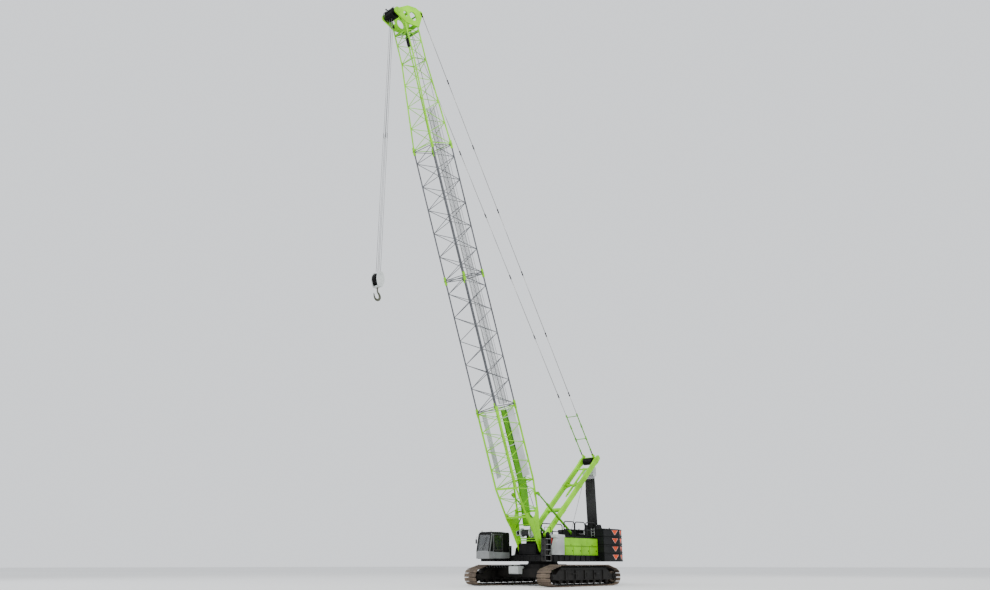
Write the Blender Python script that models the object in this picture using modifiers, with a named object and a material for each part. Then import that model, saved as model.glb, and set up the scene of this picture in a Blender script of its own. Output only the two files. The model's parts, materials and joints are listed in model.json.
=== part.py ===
"""Crawler crane with a lattice boom, a live mast and a hook block.

Metres, +Z up. The ground is z = 0, the slewing axis is the Z axis, and the machine faces -Y, so that +X is
its left-hand side. Every node is one closed body. The boom, the mast, the struts and the ropes are built
upright in their own frames and turned to their rest angles by empties that sit on the joint axes.
"""

import bpy
import bmesh
from math import atan2, cos, hypot, pi, radians, sin
from mathutils import Matrix, Vector

# ---------------------------------------------------------------- driving dimensions
GAP = 0.0003            # between faces that touch
RUNNING = 0.012         # between a moving piece and what it passes

TRACK_LENGTH = 7.8
TRACK_HEIGHT = 1.3
TRACK_GAUGE = 6.04      # between the middles of the two tracks
SHOE_WIDTH = 1.02
SHOE_PITCH = 0.262
SHOE_BAR = 0.045        # how far a shoe stands off its links
LINK_THICKNESS = 0.13
END_WHEEL_RADIUS = 0.52
END_WHEEL_HEIGHT = 0.57
END_WHEEL_WIDTH = 0.42
BEND_RADIUS = 0.2       # where the track turns from level to sloping
LEVEL_BELOW = 5.5       # length of track on the ground
LEVEL_ABOVE = 5.1       # length of the raised upper run
TRACK_FRAME_WIDTH = 0.64
TRACK_FRAME_LENGTH = 5.9
TRACK_FRAME_BOTTOM = 0.38
ROLLER_RADIUS = 0.14
ROLLERS = 8

CARBODY_HALF = 1.15
CARBODY_BOTTOM = 0.5
CARBODY_TOP = 1.33
AXLE_Y = 1.25
AXLE_WIDTH = 0.6
AXLE_HEIGHT = 0.5
SLEW_RADIUS = 0.98

DECK_BOTTOM = 1.5
DECK_TOP = 1.9
DECK_HALF = 1.5
DECK_FRONT = -1.72
FRONT_HALF = 1.2        # half the width of the boom-foot box
HOUSING_FRONT = 0.42
HOUSING_REAR = 4.28
HOUSING_TOP = 2.98
HOUSING_INNER = 0.78    # inner face of each housing, from the middle
PANEL = 0.05
DOOR_HEIGHT = 0.47
KNUCKLE = 0.014         # radius of a door's hinge barrel
DOORS_LEFT = 4
DOORS_RIGHT = 2
LOUVRE_FOOT = -0.87     # the louvred panel leans back from here
LOUVRE_HEAD = -0.37
RAIL_HEIGHT = 1.08
RAIL_TUBE = 0.022

BALLAST_FRONT = 4.35
BALLAST_CORNER = 6.35
BALLAST_REAR = 7.1
BALLAST_HALF = 2.0
BALLAST_REAR_HALF = 1.72
BALLAST_GAP = 0.66      # inner face of each stack, from the middle
SLAB_HEIGHT = 0.55
SLABS = 3

FOOT_Y = -1.27
FOOT_Z = 2.2
BOOM_ANGLE = 68.9       # degrees above level
BOOM_WIDTH = 1.83       # between chord middles
BOOM_DEPTH = 2.0
BASE_LENGTH = 9.5
INSERT_LENGTH = 9.0
TOP_LENGTH = 8.1
CHORD = 0.11
FOOT_THICKNESS = 0.22
LACING = 0.055
LACING_STEP = 1.0       # each diagonal climbs this far
BASE_PLATE = 2.6        # height of the plated legs
BASE_FULL = 4.4         # where the base reaches its full depth
HEAD_WIDTH = 1.3
HEAD_DEPTH = 1.25
HEAD_SHIFT = 0.225      # the head's middle lies behind the boom's, so that the falls pass in front of it
HEAD_HEIGHT = 1.75
HEAD_PLATE = 0.1        # thickness of the head's side plates
HEAD_PLATE_X = 0.63
HEAD_SHEAVE_RADIUS = 0.36
HEAD_SHEAVES = 0.68     # length of the row of sheaves
HEAD_SHEAVE_AT = (-0.85, 1.17)      # behind the boom's middle, above the lattice
HEAD_LUG_AT = (1.38, 1.38)

MAST_Y = -0.45
MAST_Z = 3.15
MAST_LENGTH = 8.75
MAST_ANGLE = 41.2       # degrees above level, leaning back
MAST_SPREAD = 1.3
MAST_LEG = (0.2, 0.34)
MAST_SHEAVE_RADIUS = 0.26
MAST_SHEAVES = 0.76     # length of the row of sheaves
MAST_SHEAVE_BACK = 0.5      # sheave shaft below the mast's tip
MAST_LUG_X = 0.42
MAST_LUG = (-0.42, -0.3)    # pendant pin in front of the mast's middle, and below its tip
PENDANT_THICKNESS = 0.05
PENDANT_LINK = 0.9      # length of the straight link at each end

LUFF_Y = 6.0
LUFF_Z = 2.5
LUFF_SET_LENGTH = 4.0
LUFF_ROPES = 6
ROPE = 0.03
ROPE_PITCH = 0.15
ROPE_END_GAP = 0.26     # between the mast's sheaves and the upper set
LUFF_PIN = 0.06         # radius of the pin that holds the lower set

BACKSTOP_X = 1.09
BACKSTOP_FOOT = (1.8, 3.32)
BACKSTOP_HEAD = 3.5     # up the boom
BACKSTOP_TUBE = 0.085
BACKSTOP_ROD = 0.055
BACKSTOP_TUBE_LENGTH = 3.2
BACKSTOP_TIE = 0.4      # the rods are tied across, this far behind their eyes
BACKSTOP_BEAM = (3.0, 3.14)     # bottom and top of the beam that carries their feet

HOIST_HALF = 9.4        # length of each half of the hoist ropes
HOIST_X = 0.1
BLOCK_TOP = 17.75
BLOCK_SHEAVE_RADIUS = 0.34

CAB_LEFT = -1.8
CAB_RIGHT = -2.95
CAB_FRONT = -3.35
CAB_REAR = -1.3
CAB_BOTTOM = 1.67
CAB_TOP = 3.33
CAB_WALL = 0.06
CAB_SILL = 0.45         # wall below the windows
CAB_RAKE = 0.22         # how far the windscreen leans back

WINCH_HALF = 0.4
WINCH_PLATE = 0.07
HOIST_WINCH = (0.42, 2.5)
LUFF_WINCH = (3.0, 2.45)

# ---------------------------------------------------------------- worked out from them
WHEEL_Y = TRACK_LENGTH / 2 - END_WHEEL_RADIUS
WHEEL_CORE = END_WHEEL_RADIUS - SHOE_BAR - LINK_THICKNESS - RUNNING / 2
SILL_TOP = DECK_TOP
BALLAST_BASE_TOP = DECK_BOTTOM + SLAB_HEIGHT
BOOM_TILT = radians(90 - BOOM_ANGLE)
BOOM_HEAD_Z = BASE_LENGTH + 2 * INSERT_LENGTH + TOP_LENGTH
MAST_TILT = -radians(90 - MAST_ANGLE)

COLOURS = {
    "green": ((0.27, 0.62, 0.03), 0.4, 0.0),
    "grey_paint": ((0.36, 0.37, 0.38), 0.5, 0.0),
    "pale_grey": ((0.45, 0.47, 0.47), 0.45, 0.0),
    "boom_grey": ((0.16, 0.17, 0.18), 0.5, 0.0),
    "black": ((0.02, 0.02, 0.021), 0.5, 0.0),
    "ballast": ((0.045, 0.046, 0.048), 0.6, 0.0),
    "shoe": ((0.2, 0.155, 0.115), 0.8, 0.3),
    "steel": ((0.3, 0.3, 0.3), 0.4, 0.9),
    "rope": ((0.06, 0.06, 0.062), 0.5, 0.7),
    "glass": ((0.03, 0.035, 0.04), 0.08, 0.0),
    "cloth": ((0.03, 0.03, 0.032), 0.9, 0.0),
}


# ---------------------------------------------------------------- scene and materials
for old in list(bpy.data.objects):
    bpy.data.objects.remove(old)

crane = bpy.data.collections.new("crawler_crane")
tools = bpy.data.collections.new("cutters_and_members")
bpy.context.scene.collection.children.link(crane)
bpy.context.scene.collection.children.link(tools)


def material(node, finish):
    """Make one Principled material for a node, in one of the crane's finishes."""
    colour, roughness, metallic = COLOURS[finish]
    made = bpy.data.materials.new(node + "_" + finish)
    made.use_nodes = True
    shader = made.node_tree.nodes["Principled BSDF"]
    shader.inputs["Base Color"].default_value = (*colour, 1)
    shader.inputs["Roughness"].default_value = roughness
    shader.inputs["Metallic"].default_value = metallic
    return made


def axis_frame(name, y, z, tilt=0.0, x=0.0, parent=None):
    """Put an empty on a joint's axis. Tilt leans its Z axis towards -Y."""
    empty = bpy.data.objects.new(name, None)
    empty.location = (x, y, z)
    empty.rotation_euler = (tilt, 0, 0)
    empty.parent = parent
    crane.objects.link(empty)
    return empty


def node(name, mesh, finish, parent=None, location=(0, 0, 0)):
    """Add one finished node to the crane."""
    mesh.name = name
    piece = bpy.data.objects.new(name, mesh)
    piece.parent = parent
    piece.location = location
    piece.data.materials.append(material(name, finish))
    crane.objects.link(piece)
    return piece


def member(piece, mesh):
    """Make a hidden helper that lies in a piece's own frame."""
    helper = bpy.data.objects.new(piece.name + "_member", mesh)
    helper.parent = piece.parent
    helper.location = piece.location
    helper.rotation_euler = piece.rotation_euler
    helper.hide_render = True
    helper.display_type = "WIRE"
    return helper


def combine(piece, meshes, operation):
    """Join helpers to a piece, or cut them from it, by one Boolean with a collection of them."""
    group = bpy.data.collections.new(piece.name + "_" + operation.lower())
    tools.children.link(group)
    for mesh in meshes:
        group.objects.link(member(piece, mesh))
    change = piece.modifiers.new(operation.lower(), "BOOLEAN")
    change.operation = operation
    change.operand_type = "COLLECTION"
    change.collection = group
    change.solver = "EXACT"
    return piece


def built(name, meshes, finish, parent=None, cuts=()):
    """One node from several solids that run into each other, less some cutters."""
    piece = node(name, meshes[0], finish, parent)
    if len(meshes) > 1:
        combine(piece, meshes[1:], "UNION")
    if cuts:
        combine(piece, cuts, "DIFFERENCE")
    return piece


def bevel(piece, width, segments=2, angle=40):
    """Round a piece's sharp edges."""
    change = piece.modifiers.new("rounded", "BEVEL")
    change.width = width
    change.segments = segments
    change.limit_method = "ANGLE"
    change.angle_limit = radians(angle)
    return piece


# ---------------------------------------------------------------- solids
def to_mesh(work):
    """Turn a bmesh into a mesh with its faces pointing out."""
    bmesh.ops.recalc_face_normals(work, faces=work.faces)
    mesh = bpy.data.meshes.new("solid")
    work.to_mesh(mesh)
    work.free()
    return mesh


def box(low, high):
    """A box between two corners."""
    low, high = Vector(low), Vector(high)
    work = bmesh.new()
    size = Matrix.Diagonal((*(high - low), 1))
    bmesh.ops.create_cube(work, size=1, matrix=Matrix.Translation((low + high) / 2) @ size)
    return to_mesh(work)


def bar(start, end, width, depth=None, sides=4, across=(1, 0, 0)):
    """A straight bar between two points. Width lies along across, depth at right angles to it."""
    start, end = Vector(start), Vector(end)
    along = end - start
    z_axis = along.normalized()
    y_axis = z_axis.cross(Vector(across)).normalized()
    if y_axis.length < 0.5:
        y_axis = z_axis.cross(Vector((0, 1, 0))).normalized()
    x_axis = y_axis.cross(z_axis)
    turn = Matrix((x_axis, y_axis, z_axis)).transposed().to_4x4()
    work = bmesh.new()
    if sides == 4:
        size = Matrix.Diagonal((width, depth or width, along.length, 1))
        bmesh.ops.create_cube(work, size=1, matrix=Matrix.Translation((start + end) / 2) @ turn @ size)
    else:
        bmesh.ops.create_cone(work, cap_ends=True, segments=sides, radius1=width / 2, radius2=width / 2,
                              depth=along.length, matrix=Matrix.Translation((start + end) / 2) @ turn)
    return to_mesh(work)


def rod_x(low_x, high_x, y, z, radius, sides=16):
    """A round bar that lies along X."""
    return bar((low_x, y, z), (high_x, y, z), 2 * radius, sides=sides, across=(0, 0, 1))


def plate(outline, thickness, middle=0.0, plane="YZ"):
    """A flat plate from an outline. In plane YZ it is upright along the machine, in XY it is level."""
    curve = bpy.data.curves.new("outline", "CURVE")
    curve.dimensions = "2D"
    curve.fill_mode = "BOTH"
    curve.extrude = thickness / 2
    for loop in outline if isinstance(outline[0][0], (list, tuple)) else [outline]:
        spline = curve.splines.new("POLY")
        spline.points.add(len(loop) - 1)
        for point, place in zip(spline.points, loop):
            point.co = (*place, 0, 1)
        spline.use_cyclic_u = True
    drawn = bpy.data.objects.new("outline", curve)
    tools.objects.link(drawn)
    bpy.context.view_layer.update()
    mesh = bpy.data.meshes.new_from_object(drawn.evaluated_get(bpy.context.evaluated_depsgraph_get()))
    bpy.data.objects.remove(drawn)
    work = bmesh.new()
    work.from_mesh(mesh)
    bmesh.ops.remove_doubles(work, verts=work.verts, dist=1e-5)
    turn = Matrix(((0, 0, 1), (1, 0, 0), (0, 1, 0))).to_4x4() if plane == "YZ" else Matrix.Identity(4)
    shift = Vector((middle, 0, 0)) if plane == "YZ" else Vector((0, 0, middle))
    bmesh.ops.transform(work, matrix=Matrix.Translation(shift) @ turn, verts=work.verts)
    return to_mesh(work)


def arc(centre, radius, start, end, steps):
    """Points on an arc from one angle to another, in degrees."""
    angles = [radians(start + (end - start) * step / steps) for step in range(steps + 1)]
    return [(centre[0] + radius * cos(a), centre[1] + radius * sin(a)) for a in angles]


def turned(name, profile, finish, parent, location, steps=24):
    """A round piece about the X axis. The profile is (radius, x) from the +X end to the -X end."""
    mesh = bpy.data.meshes.new(name)
    mesh.from_pydata([(radius, 0, x) for radius, x in profile], [(i, i + 1) for i in range(len(profile) - 1)], [])
    piece = node(name, mesh, finish, parent, location)
    piece.rotation_euler = (0, pi / 2, 0)
    spin = piece.modifiers.new("turned", "SCREW")
    spin.steps = steps
    spin.render_steps = steps
    spin.use_merge_vertices = True
    spin.merge_threshold = 0.0001
    return piece


def mirrored(points):
    """The same points with the two sides exchanged, in running order."""
    return [(-x, y) for x, y in reversed(points)]


# ---------------------------------------------------------------- undercarriage
def belt(circles):
    """The outline round some (y, z, radius) circles, listed anticlockwise, with arcs where it bends."""
    count = len(circles)
    touches = []
    for index in range(count):
        y0, z0, r0 = circles[index]
        y1, z1, r1 = circles[(index + 1) % count]
        heading = atan2(z1 - z0, y1 - y0)
        lean = heading - pi / 2 + (r0 - r1) / hypot(y1 - y0, z1 - z0)
        touches.append(lean)
    points = []
    for index in range(count):
        y, z, radius = circles[index]
        start, end = touches[index - 1], touches[index]
        while end < start:
            end += 2 * pi
        steps = max(1, round((end - start) * radius / 0.09))
        points += arc((y, z), radius, start * 180 / pi, end * 180 / pi, steps)
    return points


def walk(loop, step_count, lifts):
    """Points along a closed loop, each pushed out by the next of the repeating lifts (share, height)."""
    lengths = [0.0]
    for index, point in enumerate(loop):
        nearby = loop[(index + 1) % len(loop)]
        lengths.append(lengths[-1] + hypot(nearby[0] - point[0], nearby[1] - point[1]))
    made = []
    index = 0
    for step in range(step_count):
        for share, height in lifts:
            goal = (step + share) / step_count * lengths[-1]
            while lengths[index + 1] < goal:
                index += 1
            (y0, z0), (y1, z1) = loop[index], loop[(index + 1) % len(loop)]
            part = (goal - lengths[index]) / (lengths[index + 1] - lengths[index])
            size = hypot(y1 - y0, z1 - z0)
            out = ((z1 - z0) / size, -(y1 - y0) / size)
            made.append((y0 + (y1 - y0) * part + out[0] * height, z0 + (z1 - z0) * part + out[1] * height))
    return made


def track_circles(inset):
    """The circles that the track runs round, for a line this far inside its outer face."""
    wheel = (WHEEL_Y, END_WHEEL_HEIGHT, END_WHEEL_RADIUS - inset)
    below = (LEVEL_BELOW / 2, BEND_RADIUS + SHOE_BAR, BEND_RADIUS + SHOE_BAR - inset)
    above = (LEVEL_ABOVE / 2, TRACK_HEIGHT - BEND_RADIUS - SHOE_BAR, BEND_RADIUS + SHOE_BAR - inset)
    return [(-below[0], *below[1:]), below, wheel, above, (-above[0], *above[1:]), (-wheel[0], *wheel[1:])]


def track(side, x):
    """The track as one loop, its shoes and the gaps between them in its outline."""
    line = belt(track_circles(SHOE_BAR))
    length = sum(hypot(b[0] - a[0], b[1] - a[1]) for a, b in zip(line, line[1:] + line[:1]))
    shoes = round(length / SHOE_PITCH)
    outer = walk(line, shoes, ((0.06, 0.0), (0.12, SHOE_BAR), (0.88, SHOE_BAR), (0.94, 0.0)))
    lowest = min(z for y, z in outer)
    outer = [(y, max(z - lowest, 0.0)) for y, z in outer]
    inner = belt(track_circles(SHOE_BAR + LINK_THICKNESS))
    node(side + "_track", plate([outer, inner], SHOE_WIDTH, x), "shoe")


def track_frame(side, x):
    """The side beam with its rollers and the end plates that carry the sprocket and the idler."""
    roof = TRACK_HEIGHT - SHOE_BAR - LINK_THICKNESS - RUNNING
    half = TRACK_FRAME_LENGTH / 2
    outline = [(-half, TRACK_FRAME_BOTTOM), (half, TRACK_FRAME_BOTTOM), (half, END_WHEEL_HEIGHT + 0.2),
               (LEVEL_ABOVE / 2 - 0.1, roof), (-LEVEL_ABOVE / 2 + 0.1, roof), (-half, END_WHEEL_HEIGHT + 0.2)]
    bay = WHEEL_Y - WHEEL_CORE - 3 * RUNNING
    outline = [(max(-bay, min(bay, y)), z) for y, z in outline]
    solids = [plate(outline, TRACK_FRAME_WIDTH, x)]
    cheek = (TRACK_FRAME_WIDTH - END_WHEEL_WIDTH) / 2 - GAP
    for face in (-1, 1):
        middle = x + face * (TRACK_FRAME_WIDTH - cheek) / 2
        ends = [(-WHEEL_Y - 0.15, END_WHEEL_HEIGHT - 0.16), (WHEEL_Y + 0.15, END_WHEEL_HEIGHT - 0.16),
                (WHEEL_Y + 0.15, END_WHEEL_HEIGHT + 0.16), (-WHEEL_Y - 0.15, END_WHEEL_HEIGHT + 0.16)]
        solids.append(plate(ends, cheek, middle))
    roller_z = SHOE_BAR + LINK_THICKNESS + ROLLER_RADIUS + GAP
    spacing = (LEVEL_BELOW - 0.5) / (ROLLERS - 1)
    for number in range(ROLLERS):
        y = (number - (ROLLERS - 1) / 2) * spacing
        solids.append(rod_x(x - 0.26, x + 0.26, y, roller_z, ROLLER_RADIUS, 12))
    built(side + "_track_frame", solids, "black")


def end_wheel(name, x, y):
    """A sprocket or idler: a hub, a web and a rim, turned about its shaft."""
    half = END_WHEEL_WIDTH / 2
    rim, web, hub = WHEEL_CORE, WHEEL_CORE * 0.8, WHEEL_CORE * 0.42
    profile = [(0, half), (hub, half), (hub, half * 0.4), (web, half * 0.4), (web, half), (rim, half * 0.86),
               (rim, -half * 0.86), (web, -half), (web, -half * 0.4), (hub, -half * 0.4), (hub, -half), (0, -half)]
    turned(name, profile, "black", None, (x, y, END_WHEEL_HEIGHT), 20)


def undercarriage():
    """Tracks, their frames, the carbody and the slewing ring."""
    for side, sign in (("left", 1), ("right", -1)):
        x = sign * TRACK_GAUGE / 2
        track(side, x)
        track_frame(side, x)
        end_wheel(side + "_idler", x, -WHEEL_Y)
        end_wheel(side + "_sprocket", x, WHEEL_Y)
    reach = TRACK_GAUGE / 2 - TRACK_FRAME_WIDTH / 2 - GAP
    corner = CARBODY_HALF * 0.55
    half = CARBODY_HALF
    outline = [(-half, -corner), (-corner, -half), (corner, -half), (half, -corner),
               (half, corner), (corner, half), (-corner, half), (-half, corner)]
    depth = CARBODY_TOP - CARBODY_BOTTOM
    solids = [plate([(x * 1.2, y * 1.2) for x, y in outline], depth, CARBODY_BOTTOM + depth / 2, "XY")]
    for y in (-AXLE_Y, AXLE_Y):
        solids.append(box((-reach, y - AXLE_WIDTH / 2, CARBODY_BOTTOM + 0.05),
                          (reach, y + AXLE_WIDTH / 2, CARBODY_BOTTOM + 0.05 + AXLE_HEIGHT)))
    built("carbody", solids, "black")
    ring = bar((0, 0, CARBODY_TOP + GAP), (0, 0, DECK_BOTTOM - GAP), 2 * SLEW_RADIUS, sides=40)
    node("slew_ring", ring, "black")


# ---------------------------------------------------------------- upperworks
def foot_cheeks():
    """The upright lugs and pins that hold the boom's feet, either side of each foot."""
    outline = [(DECK_FRONT + 0.1, DECK_TOP - 0.05), (FOOT_Y + 0.6, DECK_TOP - 0.05), (FOOT_Y + 0.22, FOOT_Z + 0.1)]
    outline += arc((FOOT_Y, FOOT_Z), 0.24, 30, 165, 6)
    for side in (-1, 1):
        middle = side * BOOM_WIDTH / 2
        for face in (-1, 1):
            yield plate(outline, 0.06, middle + face * 0.165)
            near, far = middle + face * (FOOT_THICKNESS / 2 + GAP), middle + face * 0.165
            yield rod_x(near, far, FOOT_Y, FOOT_Z, 0.09, 12)


def mast_brackets():
    """The uprights behind the boom's feet that carry the mast's pivot."""
    outline = [(MAST_Y - 0.35, DECK_TOP - 0.05), (MAST_Y + 0.75, DECK_TOP - 0.05), (MAST_Y + 0.2, MAST_Z)]
    outline += arc((MAST_Y, MAST_Z), 0.2, 0, 180, 6)
    for side in (-1, 1):
        middle = side * MAST_SPREAD / 2
        for face in (-1, 1):
            yield plate(outline, 0.07, middle + face * 0.16)
            near, far = middle + face * (MAST_LEG[0] / 2 + GAP), middle + face * 0.16
            yield rod_x(near, far, MAST_Y, MAST_Z, 0.08, 12)


def winch_plates():
    """Upright plates that carry the two rope drums on their shafts."""
    for y, z in (HOIST_WINCH, LUFF_WINCH):
        for side in (-1, 1):
            low, high = sorted((side * (WINCH_HALF + 0.05 + GAP), side * (WINCH_HALF + 0.05 + WINCH_PLATE)))
            yield box((low, y - 0.3, DECK_TOP - 0.05), (high, y + 0.3, z + 0.14))


def backstop_feet():
    """A beam over the housings, on two posts, and the lugs on it that hold the struts' feet."""
    foot_y, foot_z = BACKSTOP_FOOT
    low, high = BACKSTOP_BEAM
    yield box((-BACKSTOP_X - 0.15, foot_y - 0.16, low), (BACKSTOP_X + 0.15, foot_y + 0.16, high))
    for side in (-1, 1):
        near, far = sorted((side * 0.55, side * 0.7))
        yield box((near, foot_y - 0.12, DECK_TOP - 0.05), (far, foot_y + 0.12, low + 0.05))
        lug = [(foot_y - 0.12, high - 0.03), (foot_y + 0.12, high - 0.03)]
        lug += arc((foot_y, foot_z), 0.1, 0, 180, 6)
        for face in (-1, 1):
            yield plate(lug, 0.03, side * BACKSTOP_X + face * (BACKSTOP_TUBE + 0.02))
            near = side * BACKSTOP_X + face * (BACKSTOP_TUBE + GAP)
            yield rod_x(near, side * BACKSTOP_X + face * (BACKSTOP_TUBE + 0.02), foot_y, foot_z, 0.045, 10)


def upper_frame():
    """The deck: a sill frame, a boom-foot box, brackets for the mast, winches, struts and lower block."""
    solids = [box((-DECK_HALF, LOUVRE_FOOT - 0.1, DECK_BOTTOM), (DECK_HALF, BALLAST_FRONT - 0.06, DECK_TOP))]
    front = [(DECK_FRONT, DECK_BOTTOM), (0.0, DECK_BOTTOM), (0.0, DECK_TOP), (DECK_FRONT, DECK_TOP)]
    solids.append(plate(front, 2 * FRONT_HALF, 0))
    rear_top = BALLAST_BASE_TOP + GAP
    solids.append(box((-0.56, BALLAST_FRONT - 0.9, rear_top), (0.56, BALLAST_REAR - 0.15, rear_top + 0.2)))
    solids.append(box((-0.56, BALLAST_FRONT - 1.0, DECK_TOP - 0.1), (0.56, BALLAST_FRONT - 0.5, rear_top + 0.2)))
    solids += list(foot_cheeks())
    solids += list(mast_brackets())
    solids += list(winch_plates())
    solids += list(backstop_feet())
    built("upper_frame", solids, "black")


def housing(side, sign, doors):
    """A hollow side housing with a bay of doors in its lower half, open underneath."""
    inner, outer = sign * HOUSING_INNER, sign * DECK_HALF
    front, rear = HOUSING_FRONT, HOUSING_REAR
    bottom = SILL_TOP + GAP
    shell = node(side + "_housing", box((min(inner, outer), front, bottom), (max(inner, outer), rear, HOUSING_TOP)),
                 "green")
    low_x, high_x = sorted((inner + sign * PANEL, outer - sign * PANEL))
    room = box((low_x, front + PANEL, bottom - 0.1), (high_x, rear - PANEL, HOUSING_TOP - PANEL))
    bay_low, bay_high = sorted((outer - sign * 2 * PANEL, outer + sign * PANEL))
    bay = box((bay_low, front + 0.06, bottom + 0.04), (bay_high, rear - 0.06, bottom + 0.04 + DOOR_HEIGHT))
    combine(shell, [room, bay], "DIFFERENCE")
    width = (rear - front - 0.12) / doors
    sill = bottom + 0.04
    for number in range(doors):
        low = front + 0.06 + number * width + RUNNING
        length = width - 0.03
        hinge = axis_frame(f"{side}_door_{number + 1}_axis", low, 0, 0, outer + sign * (KNUCKLE + GAP))
        leaf_x = sorted((-sign * (KNUCKLE + 0.03), 0))
        leaf = box((leaf_x[0], 0, sill + RUNNING / 2), (leaf_x[1], length, sill + DOOR_HEIGHT - RUNNING / 2))
        notch_x = sorted((-sign * (KNUCKLE - GAP), sign * 0.1))
        notch = box((notch_x[0], 0.04, sill - 0.1), (notch_x[1], length + 0.1, sill + DOOR_HEIGHT + 0.1))
        knuckle = bar((0, 0, sill - 0.025), (0, 0, sill + DOOR_HEIGHT + 0.025), 2 * KNUCKLE, sides=8)
        built(f"{side}_door_{number + 1}", [leaf, knuckle], "green", hinge, [notch])


def louvre_panel():
    """The slanting pale panel in front of the left housing."""
    bottom = SILL_TOP + GAP
    outline = [(LOUVRE_FOOT, bottom), (HOUSING_FRONT - GAP, bottom), (HOUSING_FRONT - GAP, HOUSING_TOP + 0.02),
               (LOUVRE_HEAD, HOUSING_TOP + 0.02)]
    depth = 0.28
    node("left_louvre_panel", plate(outline, depth, DECK_HALF - depth / 2), "pale_grey")


def engine():
    """The engine and pumps as one block inside the left housing."""
    node("engine", box((HOUSING_INNER + PANEL + 0.08, 1.0, SILL_TOP + GAP), (DECK_HALF - PANEL - 0.12, 3.2, 2.75)),
         "black")


def slab_outline(inner):
    """The outline of one ballast slab on the left, from above."""
    return [(inner, BALLAST_FRONT), (BALLAST_HALF, BALLAST_FRONT), (BALLAST_HALF, BALLAST_CORNER),
            (BALLAST_REAR_HALF, BALLAST_REAR), (inner, BALLAST_REAR)]


def ballast():
    """A full-width base slab and a stack of slabs on each side of the rope gap."""
    half = slab_outline(0)[1:4]
    base = half + [(-x, y) for x, y in reversed(half)]
    height = SLAB_HEIGHT - GAP
    piece = node("counterweight_base", plate(base, height, DECK_BOTTOM + height / 2, "XY"), "ballast")
    bevel(piece, 0.03)
    for number in range(SLABS):
        z = BALLAST_BASE_TOP + number * SLAB_HEIGHT + height / 2
        for side, sign in (("left", 1), ("right", -1)):
            outline = slab_outline(BALLAST_GAP) if sign > 0 else mirrored(slab_outline(BALLAST_GAP))
            slab = node(f"{side}_counterweight_{number + 1}", plate(outline, height, z, "XY"), "ballast")
            bevel(slab, 0.03)


def winch(name, place, radius, finish):
    """A rope drum with its flanges, turned about its shaft."""
    half = WINCH_HALF
    hub = axis_frame(name + "_axis", *place)
    flange = radius + 0.1
    profile = [(0, half + 0.05), (0.09, half + 0.05), (0.09, half), (flange, half), (flange, half - 0.04),
               (radius, half - 0.04), (radius, -half + 0.04), (flange, -half + 0.04), (flange, -half),
               (0.09, -half), (0.09, -half - 0.05), (0, -half - 0.05)]
    return turned(name, profile, finish, hub, (0, 0, 0), 16)


def handrail(side, sign):
    """Guard rails round a roof: two long bars on posts, with rounded corners at both ends."""
    x = sign * (DECK_HALF - 0.06)
    foot = HOUSING_TOP + GAP
    top = foot + RAIL_HEIGHT
    low, high = HOUSING_FRONT + 0.08, HOUSING_REAR - 0.1
    size = 2 * RAIL_TUBE
    solids = [bar((x, low, top), (x, high, top), size), bar((x, low, foot + 0.55), (x, high, foot + 0.55), size)]
    posts = 4
    for number in range(posts):
        y = low + (high - low) * number / (posts - 1)
        solids.append(bar((x, y, foot), (x, y, top), size))
    built(side + "_handrail", solids, "black")


def deck_ladder():
    """Steps from the sill up to the roof walkway, between the boom's foot and the louvred panel."""
    x_low, x_high = FRONT_HALF + GAP, DECK_HALF
    front, rear = DECK_FRONT + 0.02, LOUVRE_FOOT - 0.12
    solids = [box((x_low, front, DECK_BOTTOM), (x_low + 0.05, rear, 2.9)),
              box((x_low + 0.02, front, DECK_BOTTOM), (x_high, rear, DECK_BOTTOM + 0.05))]
    for step in range(1, 5):
        z = DECK_BOTTOM + 0.34 * step
        solids.append(box((x_low + 0.02, front + 0.06, z), (x_high, rear - 0.05, z + 0.04)))
    built("deck_ladder", solids, "black")


def lower_block():
    """The luffing block between the ballast stacks: two cheek plates, a base and the pin that holds the ropes."""
    base = BALLAST_BASE_TOP + GAP + 0.2 + GAP
    outline = [(LUFF_Y - 0.5, base), (LUFF_Y + 0.5, base), (LUFF_Y + 0.42, 3.7), (LUFF_Y + 0.2, 4.05),
               (LUFF_Y - 0.2, 4.05), (LUFF_Y - 0.42, 3.7)]
    solids = [plate(outline, 0.06, side * 0.52) for side in (-1, 1)]
    solids.append(rod_x(-0.52, 0.52, LUFF_Y, LUFF_Z, LUFF_PIN, 48))
    solids.append(box((-0.5, LUFF_Y - 0.3, base), (0.5, LUFF_Y + 0.3, base + 0.05)))
    built("luffing_block", solids, "black")


def upperworks():
    """Everything that slews with the deck."""
    upper_frame()
    housing("left", 1, DOORS_LEFT)
    housing("right", -1, DOORS_RIGHT)
    louvre_panel()
    engine()
    ballast()
    for side, sign in (("left", 1), ("right", -1)):
        handrail(side, sign)
    deck_ladder()
    lower_block()


# ---------------------------------------------------------------- cab
def cab_outline(inset=0.0):
    """The cab's side view, (y, z), moved in by a wall's thickness."""
    return [(CAB_FRONT + inset, CAB_BOTTOM + inset), (CAB_REAR - inset, CAB_BOTTOM + inset),
            (CAB_REAR - inset, CAB_TOP - 0.1 - inset), (CAB_REAR - 0.1 - inset, CAB_TOP - inset),
            (CAB_FRONT + CAB_RAKE + 0.12 + inset, CAB_TOP - inset), (CAB_FRONT + CAB_RAKE + inset, CAB_TOP - 0.12),
            (CAB_FRONT + inset, CAB_BOTTOM + CAB_SILL)]


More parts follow.
